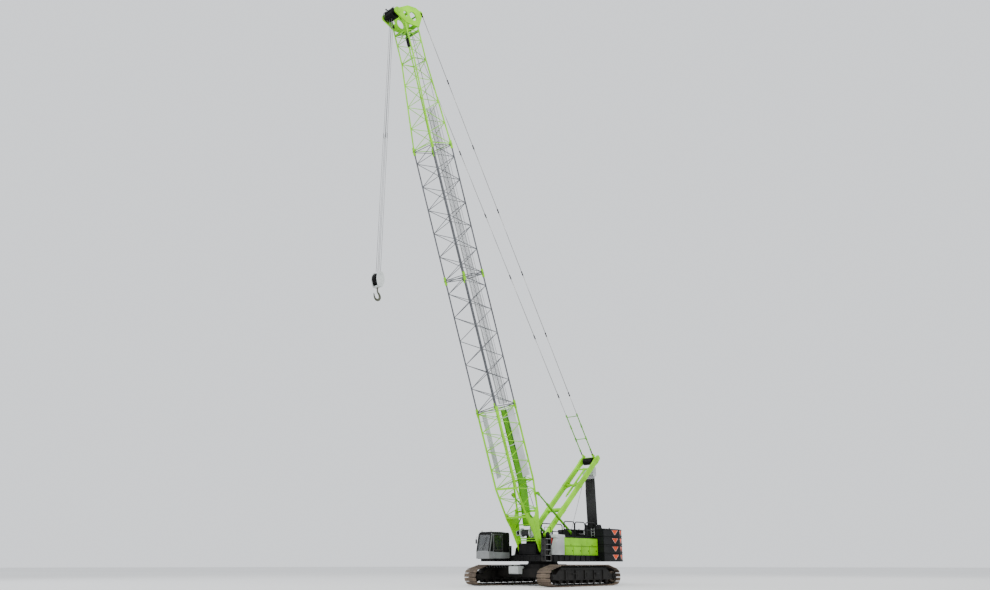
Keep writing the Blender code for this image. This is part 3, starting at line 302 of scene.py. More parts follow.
class Weave:
    """A short hand for a material's nodes. Every texture reads the piece's own coordinates, in metres."""

    def __init__(self, tree: bpy.types.NodeTree) -> None:
        """Take over a new material's tree.

        Args:
            tree: the node tree, with its Principled shader.
        """
        self.tree = tree
        self.shader = tree.nodes["Principled BSDF"]
        self.place = self._add("ShaderNodeTexCoord").outputs["Object"]

    def _add(self, kind: str) -> bpy.types.Node:
        """Add one node."""
        return self.tree.nodes.new(kind)

    def _feed(self, socket: bpy.types.NodeSocket, value: object) -> None:
        """Link a socket, or set its value.

        Args:
            socket: the input.
            value: another socket, or a plain value.
        """
        if isinstance(value, bpy.types.NodeSocket):
            self.tree.links.new(value, socket)
        else:
            socket.default_value = value

    def join(self, value: bpy.types.NodeSocket, name: str) -> None:
        """Link a value to one of the shader's inputs."""
        self.tree.links.new(value, self.shader.inputs[name])

    def noise(self, scale: float, detail: float, rough: float = 0.5,
              stretch: Point = (1, 1, 1)) -> bpy.types.NodeSocket:
        """A noise pattern.

        Args:
            scale: cells in a metre.
            detail: octaves.
            rough: weight of the finer octaves.
            stretch: factors on the three coordinates.

        Returns:
            The pattern's value, about 0.3 to 0.7.
        """
        spread = self._add("ShaderNodeMapping")
        spread.inputs["Scale"].default_value = stretch
        self.tree.links.new(self.place, spread.inputs["Vector"])
        pattern = self._add("ShaderNodeTexNoise")
        pattern.inputs["Scale"].default_value = scale
        pattern.inputs["Detail"].default_value = detail
        pattern.inputs["Roughness"].default_value = rough
        self.tree.links.new(spread.outputs["Vector"], pattern.inputs["Vector"])
        return pattern.outputs["Fac"]

    def strands(self) -> bpy.types.NodeSocket:
        """The slanting strands of a wire rope, about one in 30 mm.

        Returns:
            The pattern's value, 0 to 1.
        """
        waves = self._add("ShaderNodeTexWave")
        waves.bands_direction = "DIAGONAL"
        waves.inputs["Scale"].default_value = 9.0
        self.tree.links.new(self.place, waves.inputs["Vector"])
        return waves.outputs["Fac"]

    def studs(self) -> bpy.types.NodeSocket:
        """The raised studs of a tread plate.

        Returns:
            1 on a stud and 0 between studs.
        """
        cells = self._add("ShaderNodeTexVoronoi")
        cells.inputs["Scale"].default_value = 28.0
        cells.inputs["Randomness"].default_value = 0.15
        self.tree.links.new(self.place, cells.inputs["Vector"])
        return self.span(cells.outputs["Distance"], 0.2, 0.35, 1, 0)

    def height(self) -> bpy.types.NodeSocket:
        """The point's height above the ground with the machine at rest.

        Returns:
            The height in metres.
        """
        parts = self._add("ShaderNodeSeparateXYZ")
        self.tree.links.new(self.place, parts.inputs[0])
        return parts.outputs["Z"]

    def facing_up(self) -> bpy.types.NodeSocket:
        """How far the surface faces up.

        Returns:
            1 on a level top face and 0 on a wall.
        """
        parts = self._add("ShaderNodeSeparateXYZ")
        self.tree.links.new(self._add("ShaderNodeNewGeometry").outputs["Normal"], parts.inputs[0])
        return parts.outputs["Z"]

    def blend(self, share: object, first: object, second: object) -> bpy.types.NodeSocket:
        """Mix two colours.

        Args:
            share: how much of the second, 0 to 1.
            first: a colour or a socket.
            second: a colour or a socket.

        Returns:
            The mixed colour.
        """
        mixed = self._add("ShaderNodeMix")
        mixed.data_type = "RGBA"
        self._feed(mixed.inputs[0], share)
        self._feed(mixed.inputs[6], first)
        self._feed(mixed.inputs[7], second)
        return mixed.outputs[2]

    def span(self, value: bpy.types.NodeSocket, low: float, high: float, to_low: float,
             to_high: float) -> bpy.types.NodeSocket:
        """Map one range of values on another, with clamped ends.

        Args:
            value: the value mapped.
            low: the range's first value.
            high: its last value.
            to_low: what the first becomes.
            to_high: what the last becomes.

        Returns:
            The mapped value.
        """
        mapped = self._add("ShaderNodeMapRange")
        for index, number in enumerate((low, high, to_low, to_high), start=1):
            mapped.inputs[index].default_value = number
        self.tree.links.new(value, mapped.inputs[0])
        return mapped.outputs[0]

    def sum(self, first: bpy.types.NodeSocket, second: bpy.types.NodeSocket) -> bpy.types.NodeSocket:
        """Add two values.

        Args:
            first: one value.
            second: the other.

        Returns:
            Their sum.
        """
        added = self._add("ShaderNodeMath")
        self.tree.links.new(first, added.inputs[0])
        self.tree.links.new(second, added.inputs[1])
        return added.outputs[0]

    def scaled(self, value: bpy.types.NodeSocket, factor: float) -> bpy.types.NodeSocket:
        """Multiply a value by a number.

        Args:
            value: the value.
            factor: the number.

        Returns:
            Their product.
        """
        made = self._add("ShaderNodeMath")
        made.operation = "MULTIPLY"
        self.tree.links.new(value, made.inputs[0])
        made.inputs[1].default_value = factor
        return made.outputs[0]

    def raise_by(self, relief: bpy.types.NodeSocket, depth: float) -> None:
        """Feed a relief to the shader as bump.

        Args:
            relief: its height from 0 to 1.
            depth: what 1 stands for, in metres.
        """
        bump = self._add("ShaderNodeBump")
        bump.inputs["Strength"].default_value = 0.6
        bump.inputs["Distance"].default_value = depth
        self.tree.links.new(relief, bump.inputs["Height"])
        self.join(bump.outputs["Normal"], "Normal")


GREEN = Finish("lime_paint", "green", (0.26, 0.70, 0.0), dusty=0.02, rough=0.33, chips=0.12,
               shine=0.18)
# The same green paint made darker: painted shade, for parts that stand in shade in the boom, head, pendants
# and backstops.
SHADED_GREEN = Finish("shaded_green_paint", "green", (0.11, 0.40, 0.0), dusty=0.03, rough=0.4, chips=0.2,
                    shine=0.25)
CAB_GREY = Finish("cab_paint", "grey_paint", (0.19, 0.195, 0.2), dusty=0.1, rough=0.33)
PALE = Finish("pale_paint", "pale_grey", (0.52, 0.55, 0.54), dusty=0.15, rough=0.42, chips=0.15)
MESH_GREY = Finish("zinc", "pale_grey", (0.42, 0.43, 0.43), dusty=0.2, rough=0.5, metal=0.6)
SECTION_GREY = Finish("section_paint", "boom_grey", (0.085, 0.09, 0.1), dusty=0.15, rough=0.45, chips=0.2)
BLACK = Finish("black_paint", "black", (0.003, 0.003, 0.0035), dusty=0.022, rough=0.42, chips=0.12,
               shine=0.12)
DUSTY_BLACK = Finish("chassis_paint", "black", (0.004, 0.0038, 0.0035), dusty=0.03, rough=0.5,
                     chips=0.2, shine=0.14)
RUBBER = Finish("rubber", "black", (0.018, 0.018, 0.018), dusty=0.3, rough=0.7, grain=Grain.CLOTH,
                bump=0.0006)
BALLAST = Finish("ballast_iron", "ballast", (0.0055, 0.006, 0.0065), dusty=0.02, rough=0.6, grain=Grain.CAST,
                 bump=0.003, chips=0.12, shine=0.14)
ORANGE = Finish("warning_orange", "ballast", (0.72, 0.06, 0.003), dusty=0.03, rough=0.5, shine=0.15)
WHITE = Finish("white_paint", "ballast", (0.66, 0.66, 0.64), dusty=0.2, rough=0.5)
RED = Finish("red_paint", "black", (0.5, 0.02, 0.015), dusty=0.2, rough=0.4)
SHOES = Finish("shoe_steel", "shoe", (0.06, 0.045, 0.035), dust=(0.28, 0.21, 0.15), dusty=0.55, rough=0.7,
               metal=0.25, grain=Grain.CAST, bump=0.003, chips=0.5)
STEEL = Finish("bare_steel", "steel", (0.38, 0.38, 0.38), dusty=0.2, rough=0.35, metal=0.9)
ROPE = Finish("wire_rope", "rope", (0.035, 0.035, 0.038), dusty=0.06, rough=0.5, metal=0.4, grain=Grain.ROPE,
              bump=0.004)
TREAD = Finish("tread_plate", "black", (0.02, 0.02, 0.021), dusty=0.15, rough=0.5, metal=0.3,
               grain=Grain.TREAD,
               bump=0.003)
GLASS = Finish("tinted_glass", "glass", (0.012, 0.016, 0.018), dusty=0.12, rough=0.04, grain=Grain.GLASS)
CLOTH = Finish("seat_cloth", "cloth", (0.022, 0.022, 0.025), dusty=0.12, rough=0.9, grain=Grain.CLOTH,
               bump=0.001)
LAMP = Finish("lamp_lens", "pale_grey", (0.75, 0.75, 0.72), dusty=0.08, rough=0.12)
FALL = Finish("bright_rope", "rope", (0.36, 0.36, 0.37), dusty=0.05, rough=0.4, metal=0.5, grain=Grain.ROPE,
              bump=0.003)
HOOK_OLIVE = Finish("forged_hook", "black", (0.05, 0.055, 0.03), dusty=0.2, rough=0.5, grain=Grain.CAST,
                    bump=0.002)


# ---------------------------------------------------------------- solids
class Shape:
    """Closed solids gathered into one mesh, drawn in one frame."""

    def __init__(self, place: Matrix | None = None) -> None:
        """Start empty.

        Args:
            place: the frame in which the solids are drawn, or none for the crane's own.
        """
        self.place = place or Matrix.Identity(4)
        self.points: list[Vector] = []
        self.faces: list[list[int]] = []
        self.smooth: list[bool] = []

    def add(self, points: Iterable[Point], faces: Iterable[Sequence[int]], smooth: bool = False,
            turn: Matrix | None = None) -> None:
        """Add one solid.

        Args:
            points: its corners.
            faces: its faces, by corner.
            smooth: whether its faces are shaded smooth.
            turn: a matrix applied before the shape's own frame.
        """
        first = len(self.points)
        whole = self.place @ turn if turn else self.place
        self.points += [whole @ Vector(point) for point in points]
        for face in faces:
            self.faces.append([first + corner for corner in face])
            self.smooth.append(smooth and len(face) <= 4)

    def box(self, low: Point, high: Point, chamfer: float = 0.0, turn: Matrix | None = None) -> None:
        """A box, with its upright edges chamfered if asked.

        Args:
            low: its lowest corner.
            high: its highest corner.
            chamfer: size of the chamfer on all twelve edges.
            turn: a matrix applied first.
        """
        low = [min(a, b) for a, b in zip(low, high)]
        high = [max(a, b) for a, b in zip(low, high)]
        if chamfer <= 0:
            chamfer = min(0.004, min(h - l for h, l in zip(high, low)) * 0.2)
        rings = []
        for z, inset in ((low[2], chamfer), (low[2] + chamfer, 0), (high[2] - chamfer, 0),
                         (high[2], chamfer)):
            x0, x1, y0, y1 = low[0] + inset, high[0] - inset, low[1] + inset, high[1] - inset
            c = chamfer
            ring = [(x0 + c, y0), (x1 - c, y0), (x1, y0 + c), (x1, y1 - c), (x1 - c, y1), (x0 + c, y1),
                    (x0, y1 - c), (x0, y0 + c)]
            rings.append([(x, y, z) for x, y in ring])
        self.loft(rings, turn=turn)

    def loft(self, rings: Sequence[Sequence[Point]], smooth: bool = False,
             turn: Matrix | None = None) -> None:
        """A skin over rings of equal count, closed at both ends.

        Args:
            rings: the rings in order.
            smooth: whether the sides are shaded smooth.
            turn: a matrix applied first.
        """
        count = len(rings[0])
        points = [point for ring in rings for point in ring]
        faces: list[Sequence[int]] = [list(reversed(range(count)))]
        for level in range(len(rings) - 1):
            for corner in range(count):
                after = (corner + 1) % count
                base = level * count
                faces.append((base + corner, base + after, base + count + after, base + count + corner))
        faces.append([(len(rings) - 1) * count + corner for corner in range(count)])
        self.add(points, faces, smooth, turn)

    def prism(self, outline: Outline, low: float, high: float, plane: Matrix | None = None,
              edge: float = 0.003) -> None:
        """A flat outline drawn out between two heights, with a fine chamfer on both faces.

        Args:
            outline: its points, (x, y) in its own plane.
            low: its first height along the plane's Z.
            high: its last height.
            plane: the plane's frame. None lies level.
            edge: the chamfer's size.
        """
        area = sum(a[0] * b[1] - b[0] * a[1] for a, b in zip(outline, outline[1:] + outline[:1]))
        ring = outline if area > 0 else list(reversed(outline))
        low, high = sorted((low, high))
        edge = min(edge, (high - low) * 0.25)
        inner = shrunk(ring, edge)
        levels = ((low, inner), (low + edge, ring), (high - edge, ring), (high, inner))
        self.loft([[(x, y, z) for x, y in loop] for z, loop in levels], turn=plane)

    def side(self, outline: Outline, low_x: float, high_x: float, edge: float = 0.003) -> None:
        """A plate upright along the machine, from a (y, z) outline."""
        self.prism(outline, low_x, high_x, ALONG_X, edge)

    def tube(self, start: Point, end: Point, radius: float, sides: int = 10,
             end_radius: float | None = None) -> None:
        """A round bar between two points.

        Args:
            start: its first end.
            end: its last end.
            radius: its radius.
            sides: the number of its sides.
            end_radius: its radius at the last end, if it tapers.
        """
        turn, length = along(Vector(start), Vector(end))
        last = radius if end_radius is None else end_radius
        rings = [[(r * cos(tau * k / sides), r * sin(tau * k / sides), z) for k in range(sides)]
                 for z, r in ((0, radius), (length, last))]
        self.loft(rings, smooth=True, turn=turn)

    def bar(self, start: Point, end: Point, width: float, depth: float, across: Point = (1, 0, 0)) -> None:
        """A flat or square bar between two points.

        Args:
            start: its first end.
            end: its last end.
            width: its size along across.
            depth: its other size.
            across: the direction of its width.
        """
        turn, length = along(Vector(start), Vector(end), Vector(across))
        self.box((-width / 2, -depth / 2, 0), (width / 2, depth / 2, length), turn=turn)

    def sweep(self, path: Sequence[Point], radius: float, sides: int = 8, closed: bool = False) -> None:
        """A round bar along a path.

        Args:
            path: its points.
            radius: its radius.
            sides: the number of its sides.
            closed: whether it runs back to its start.
        """
        spots = [Vector(point) for point in path]
        count = len(spots)
        rings: list[list[Vector]] = []
        normal = None
        for index, spot in enumerate(spots):
            before = spots[index - 1] if closed or index else spot
            after = spots[(index + 1) % count] if closed or index < count - 1 else spot
            heading = (after - before).normalized()
            if normal is None:
                normal = heading.orthogonal().normalized()
            normal = (normal - heading * normal.dot(heading)).normalized()
            other = heading.cross(normal)
            rings.append([spot + (normal * cos(tau * k / sides) + other * sin(tau * k / sides)) * radius
                          for k in range(sides)])
        if closed:
            points = [point for ring in rings for point in ring]
            faces = []
            for level in range(count):
                for k in range(sides):
                    a, b = level * sides, (level + 1) % count * sides
                    faces.append((a + k, a + (k + 1) % sides, b + (k + 1) % sides, b + k))
            self.add(points, faces, True)
        else:
            self.loft(rings, smooth=True)

    def lathe(self, profile: Sequence[Point], origin: Point, axis: Point = (1, 0, 0), steps: int = 24,
              smooth: bool = False) -> None:
        """A turned solid.

        Args:
            profile: (radius, distance) pairs along the axis, from one closed end to the other.
            origin: the axis's origin.
            axis: its direction.
            steps: the number of sides.
            smooth: whether its faces are shaded smooth.
        """
        turn, _ = along(Vector(origin), Vector(origin) + Vector(axis))
        rings = [[(max(r, 0.0005) * cos(tau * k / steps), max(r, 0.0005) * sin(tau * k / steps), z)
                  for k in range(steps)] for r, z in profile]
        self.loft(rings, smooth, turn)

    def bolts(self, centre: Point, axis: Point, radius: float, count: int, size: float = 0.014,
              proud: float = 0.012) -> None:
        """A ring of hexagon heads.

        Args:
            centre: the ring's centre, on the face that they sit on.
            axis: the face's normal.
            radius: the ring's radius.
            count: the number of heads.
            size: a head's radius.
            proud: how far a head stands out.
        """
        turn, _ = along(Vector(centre), Vector(centre) + Vector(axis))
        for number in range(count):
            angle = tau * number / count
            x, y = radius * cos(angle), radius * sin(angle)
            rings = [[(x + size * r * cos(tau * k / 6), y + size * r * sin(tau * k / 6),
                       z) for k in range(6)]
                     for z, r in ((-0.002, 1.0), (proud * 0.8, 1.0), (proud, 0.85))]
            self.loft(rings, turn=turn)

    def sawn(self, loops: Sequence[Outline], low_x: float, high_x: float) -> None:
        """A plate along the machine with holes in it.

        Args:
            loops: its outline and then its holes, as (y, z) points.
            low_x: its first face.
            high_x: its last face.
        """
        curve = bpy.data.curves.new("outline", "CURVE")
        curve.dimensions = "2D"
        curve.fill_mode = "BOTH"
        curve.extrude = abs(high_x - low_x) / 2
        for loop in loops:
            spline = curve.splines.new("POLY")
            spline.points.add(len(loop) - 1)
            for point, place in zip(spline.points, loop):
                point.co = (*place, 0, 1)
            spline.use_cyclic_u = True
        drawn = bpy.data.objects.new("outline", curve)
        bpy.context.scene.collection.objects.link(drawn)
        bpy.context.view_layer.update()
        mesh = bpy.data.meshes.new_from_object(drawn.evaluated_get(bpy.context.evaluated_depsgraph_get()))
        bpy.data.objects.remove(drawn)
        shift = ALONG_X.copy()
        shift[0][3] = (low_x + high_x) / 2
        self.add([v.co for v in mesh.vertices], [list(p.vertices) for p in mesh.polygons], turn=shift)
        bpy.data.meshes.remove(mesh)

    def triangles(self) -> int:
        """How many triangles the solids have."""
        return sum(len(face) - 2 for face in self.faces)


def shrunk(ring: Outline, inset: float) -> Outline:
    """An outline moved in by a small distance.

    Args:
        ring: its points, anticlockwise.
        inset: how far each edge moves in.

    Returns:
        As many points, moved in along the corners' bisectors.
    """
    count = len(ring)
    made: Outline = []
    for index in range(count):
        (x0, y0), (x1, y1), (x2, y2) = ring[index - 1], ring[index], ring[(index + 1) % count]
        a, b = hypot(x1 - x0, y1 - y0) or 1, hypot(x2 - x1, y2 - y1) or 1
        nx = -(y1 - y0) / a - (y2 - y1) / b
        ny = (x1 - x0) / a + (x2 - x1) / b
        size = max(nx * nx + ny * ny, 0.5)
        made.append((x1 + 2 * inset * nx / size, y1 + 2 * inset * ny / size))
    return made


def along(start: Vector, end: Vector, across: Vector | None = None) -> tuple[Matrix, float]:
    """A frame at start with its Z axis towards end.

    Args:
        start: the frame's origin.
        end: where its Z axis points.
        across: a direction for its X axis, as near as it can be.

    Returns:
        The frame's matrix, and the distance.
    """
    heading = end - start
    z_axis = heading.normalized()
    guide = across if across is not None else z_axis.orthogonal()
    y_axis = z_axis.cross(guide)
    if y_axis.length < 1e-6:
        y_axis = z_axis.orthogonal()
    y_axis.normalize()
    x_axis = y_axis.cross(z_axis)
    turn = Matrix((x_axis, y_axis, z_axis)).transposed().to_4x4()
    return Matrix.Translation(start) @ turn, heading.length


@dataclass
class Kit:
    """What puts finished pieces on the crane and keeps a list of them."""

    pieces: list[tuple[str, str | None, int]] = field(default_factory=list)

    def place(self, name: str, shape: Shape, finish: Finish, body: str | None,
              stands_for: Sequence[str] = (), crease: float = 35) -> bpy.types.Object:
        """Make a piece from a shape, dress it and let it ride.

        Args:
            name: the piece's name.
            shape: its solids.
            finish: its finish.
            body: the body that it moves with, or none for a piece left unattached.
            stands_for: the CAD nodes that it replaces.
            crease: edges sharper than this many degrees stay sharp.

        Returns:
            The piece.
        """
        mesh = bpy.data.meshes.new(name)
        mesh.from_pydata(shape.points, [], shape.faces)
        mesh.polygons.foreach_set("use_smooth", shape.smooth)
        work = bmesh.new()
        work.from_mesh(mesh)
        bmesh.ops.recalc_face_normals(work, faces=work.faces)
        for edge in work.edges:
            if len(edge.link_faces) == 2 and edge.calc_face_angle(0) > radians(crease):
                edge.smooth = False
        work.to_mesh(mesh)
        work.free()
        mesh.materials.append(finish.make())
        piece = bpy.data.objects.new(name, mesh)
        bpy.context.scene.collection.objects.link(piece)
        if body:
            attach(piece, body)
        if stands_for:
            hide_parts(*stands_for)
        self.pieces.append((name, body, shape.triangles()))
        return piece

    def dress(self, node: str, finish: Finish) -> None:
        """Give a CAD node that stays in view a better finish.

        Args:
            node: the node's name.
            finish: its finish.
        """
        target = frame["nodes"][node]
        for slot in target.material_slots:
            slot.material = finish.make()

    def report(self) -> None:
        """Log each piece with its body and size."""
        for name, body, triangles in self.pieces:
            LOG.info("%s rides on %s, %d triangles", name, body, triangles)
        LOG.info("%d pieces, %d triangles", len(self.pieces), sum(entry[2] for entry in self.pieces))


# ---------------------------------------------------------------- undercarriage
@dataclass
class Belt:
    """A track's path round its wheels, in the (y, z) plane.

    Attributes:
        circles: the (y, z, radius) circles that it runs round, anticlockwise.
    """

    circles: list[tuple[float, float, float]]
    runs: list[tuple[float, tuple[float, ...]]] = field(default_factory=list)

    def __post_init__(self) -> None:
        """Work out the belt's arcs and straight runs."""
        count = len(self.circles)
        touches = []
        for index in range(count):
            y0, z0, r0 = self.circles[index]
            y1, z1, r1 = self.circles[(index + 1) % count]
            touches.append(atan2(z1 - z0, y1 - y0) - pi / 2 + (r0 - r1) / hypot(y1 - y0, z1 - z0))
        for index in range(count):
            y, z, radius = self.circles[index]
            start, end = touches[index - 1], touches[index]
            while end < start:
                end += tau
            if end > start:
                self.runs.append(((end - start) * radius, (y, z, radius, start)))
            y1, z1, r1 = self.circles[(index + 1) % count]
            low = (y + radius * cos(end), z + radius * sin(end))
            high = (y1 + r1 * cos(end), z1 + r1 * sin(end))
            self.runs.append((hypot(high[0] - low[0], high[1] - low[1]), (*low, *high, end)))

    @property
    def length(self) -> float:
        """The belt's whole length."""
        return sum(run[0] for run in self.runs)

    def at(self, distance: float) -> tuple[float, float, float]:
        """A point of the belt.

        Args:
            distance: how far along it.

        Returns:
            Its y and z, and the angle of its outward normal.
        """
        for size, run in self.runs:
            if distance <= size:
                if len(run) == 4:
                    y, z, radius, start = run
                    angle = start + distance / radius
                    return y + radius * cos(angle), z + radius * sin(angle), angle
                share = distance / size
                return run[0] + (run[2] - run[0]) * share, run[1] + (run[3] - run[1]) * share, run[4]
            distance -= size
        return self.at(0.0)


@dataclass
class Undercarriage:
    """Two tracks on their frames, the carbody between them and the slewing ring."""

    kit: Kit
    shoe_pitch: float = 0.262
    shoe_bar: float = 0.045
    link: float = 0.13
    bend: float = 0.2
    level_below: float = 5.5
    level_above: float = 5.1
    wheel_radius: float = 0.52
    wheel_height: float = 0.57
    frame_half: float = 0.32
    rollers: int = 8

    def build(self) -> None:
        """Build and dress every piece of it."""
        for side in Side:
            self._track(side)
            self._track_frame(side)
            self._end_wheels(side)
        self._carbody()
        self.kit.dress("slew_ring", DUSTY_BLACK)
        self.kit.dress("carbody", DUSTY_BLACK)

    def _belt(self, inset: float, side: Side) -> Belt:
        """The belt's line this far inside the shoes' outer faces.

        Args:
            inset: how far inside.
            side: which track.

        Returns:
            The line.
        """
        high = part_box(side.word + "_track")[1]
        half = high.y - self.wheel_radius
        round_below = self.bend + self.shoe_bar
        wheel = (half, self.wheel_height, self.wheel_radius - inset)
        below = (self.level_below / 2, round_below, round_below - inset)
        above = (self.level_above / 2, high.z - round_below, round_below - inset)
        return Belt([(-below[0], *below[1:]), below, wheel, above, (-above[0], *above[1:]),
                     (-wheel[0], *wheel[1:])])

    def _track(self, side: Side) -> None:
        """The shoes and the chain under them, shoe by shoe round the belt.

        Args:
            side: which track.
        """
        low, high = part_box(side.word + "_track")
        middle, half = (low.x + high.x) / 2, (high.x - low.x) / 2
        line = self._belt(self.shoe_bar, side)
        count = round(line.length / self.shoe_pitch)
        shoes, chain = Shape(), Shape()
        for number in range(count):
            y, z, angle = line.at((number + 0.5) / count * line.length)
            turn = Matrix.Translation((middle, y, z)) @ Matrix.Rotation(angle - pi / 2, 4, "X")
            self._shoe(shoes, turn, half)
            self._link(chain, turn)
        word = side.word
        self.kit.place(word + "_track_shoes", shoes, SHOES, "undercarriage", [word + "_track"])
        self.kit.place(word + "_track_chain", chain, DUSTY_BLACK, "undercarriage")

    def _shoe(self, shape: Shape, turn: Matrix, half: float) -> None:
        """One shoe: a plate with rounded ends, two low bars and a raised middle pad on each wing.

        Args:
            shape: where it is added.
            turn: the shoe's frame, with Z outwards and Y along the track.
            half: half its width.
        """
        reach = self.shoe_pitch / 2
        plate = [(-half, -reach * 0.72), (-half + 0.05, -reach * 0.92), (half - 0.05, -reach * 0.92),
                 (half, -reach * 0.72), (half, reach * 0.6), (half - 0.05, reach * 0.8), (0.2, reach * 0.8),
                 (0.16, reach * 0.97), (-0.16, reach * 0.97), (-0.2, reach * 0.8),
                 (-half + 0.05, reach * 0.8),
                 (-half, reach * 0.6)]
        shape.prism(plate, -0.012, 0.02, turn, edge=0.006)
        for y in (-reach * 0.62, reach * 0.38):
            bar = [(-half + 0.02, y - 0.016), (half - 0.02, y - 0.016), (half - 0.02, y + 0.016),
                   (-half + 0.02, y + 0.016)]
            shape.prism(bar, 0.015, self.shoe_bar, turn, edge=0.007)
        for wing in (-1, 1):
            pad = [(wing * (half - 0.1), -reach * 0.3), (wing * (half - 0.1), reach * 0.1),
                   (wing * 0.24, reach * 0.1), (wing * 0.24, -reach * 0.3)]
            shape.prism(pad, 0.015, 0.03, turn, edge=0.006)
            for y in (-0.035, 0.035):
                shape.tube(turn @ Vector((wing * 0.12, y, 0.018)), turn @ Vector((wing * 0.12, y, 0.036)),
                           0.014, 6)

    def _link(self, shape: Shape, turn: Matrix) -> None:
        """One pair of chain links, their pin and the guide lugs between them.

        Args:
            shape: where it is added.
            turn: the shoe's frame.
        """
        reach = self.shoe_pitch / 2
        for wing in (-1, 1):
            outline = arc((-reach * 0.55, -0.06), 0.05, 100, 260, 5)
            outline += arc((reach * 0.55, -0.06), 0.05, -80, 80, 5)
            outline = [(y, z - 0.004) for y, z in outline]
            shape.prism(outline, wing * 0.09, wing * 0.14, turn @ ALONG_X, edge=0.005)
        shape.tube(turn @ Vector((-0.17, reach * 0.55, -0.064)),
                   turn @ Vector((0.17, reach * 0.55, -0.064)), 0.024, 8)

    def _track_frame(self, side: Side) -> None:
        """The side beam's details: roller flanges and caps, ribs, a recessed panel and the drive's cover.

        Args:
            side: which track.
        """
        word = side.word
        low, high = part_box(word + "_track")
        middle = (low.x + high.x) / 2
        rims, trim = Shape(), Shape()
        spacing = (self.level_below - 0.5) / (self.rollers - 1)
        roller_z = self.shoe_bar + self.link + 0.14
        for number in range(self.rollers):
            y = (number - (self.rollers - 1) / 2) * spacing
            for wing in (-1, 1):
                face = middle + wing * 0.26
                rims.lathe([(0, -0.005), (0.135, -0.005), (0.145, 0.01), (0.145, 0.03), (0.1, 0.045),
                            (0.06, 0.05),
                            (0.055, 0.075), (0, 0.078)], (face, y, roller_z), (wing, 0, 0), 20)
        for wing in (-1, 1):
            face = middle + wing * self.frame_half
            for y in (-2.05, -1.0, 0.0, 1.0, 2.05):
                rib = [(y - 0.03, 0.42), (y + 0.03, 0.42), (y + 0.03, 0.98), (y - 0.03, 0.98)]
                trim.side(rib, face - wing * 0.004, face + wing * 0.05)
            for z in (0.4, 0.99):
                trim.box((face - wing * 0.004, -2.5, z - 0.018), (face + wing * 0.055, 2.5, z + 0.018),
                         0.006)
            for y in (-1.52, -0.5, 0.5, 1.52):
                panel = rounded((y - 0.3, 0.55), (y + 0.3, 0.86), 0.06)
                trim.side(panel, face - wing * 0.004, face + wing * 0.012, 0.005)
                for dy in (-0.24, 0.24):
                    trim.bolts((face + wing * 0.012, y + dy, 0.7), (wing, 0, 0), 0.075, 4, 0.016)
            for end in (-1, 1):
                trim.bolts((face, end * 2.75, 0.57), (wing, 0, 0), 0.09, 6, 0.018)
        trim.box((middle - 0.2, -2.4, 0.97), (middle + 0.2, 2.4, 1.142), 0.02)
        trim.box((middle - 0.1, -2.7, 0.2), (middle + 0.1, 2.7, 0.4), 0.01)
        for step in (-1.25, 1.25):
            outer = middle + side.value * self.frame_half
            trim.box((outer, step - 0.2, 0.74), (outer + side.value * 0.17, step + 0.2, 0.77), 0.008)
        self.kit.place(word + "_track_rollers", rims, DUSTY_BLACK, "undercarriage")
        self.kit.place(word + "_track_frame_ribs", trim, DUSTY_BLACK, "undercarriage")
        self.kit.dress(word + "_track_frame", DUSTY_BLACK)

    def _end_wheels(self, side: Side) -> None:
        """Teeth on the sprocket, and caps with bolts on both end wheels.

        Args:
            side: which track.
        """
        word = side.word
        for name in ("sprocket", "idler"):
            low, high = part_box(f"{word}_{name}")
            centre, radius = (low + high) / 2, (high.z - low.z) / 2
            shape = Shape()
            if name == "sprocket":
                for tooth in range(14):
                    angle = tau * tooth / 14
                    spot = (centre.y + (radius - 0.012) * cos(angle),
                            centre.z + (radius - 0.012) * sin(angle))
                    shape.side([(spot[0] + 0.026 * cos(a), spot[1] + 0.026 * sin(a)) for a in
                                (tau * k / 8 for k in range(8))], centre.x - 0.075, centre.x + 0.075)
            for wing in (-1, 1):
                face = centre.x + wing * (self.frame_half + 0.001)
                size = 0.145 if name == "idler" or wing != side.value else 0.2
                shape.lathe([(0, 0), (size, 0), (size, 0.03), (size * 0.8, 0.05), (size * 0.45, 0.06),
                             (size * 0.4, 0.1), (0, 0.105)], (face, centre.y, centre.z), (wing, 0, 0), 28)
                shape.bolts((face + wing * 0.05, centre.y, centre.z), (wing, 0, 0), size * 0.62, 10, 0.013)
            self.kit.place(f"{word}_{name}_caps", shape, DUSTY_BLACK, "undercarriage")
            self.kit.dress(f"{word}_{name}", SHOES if name == "sprocket" else DUSTY_BLACK)

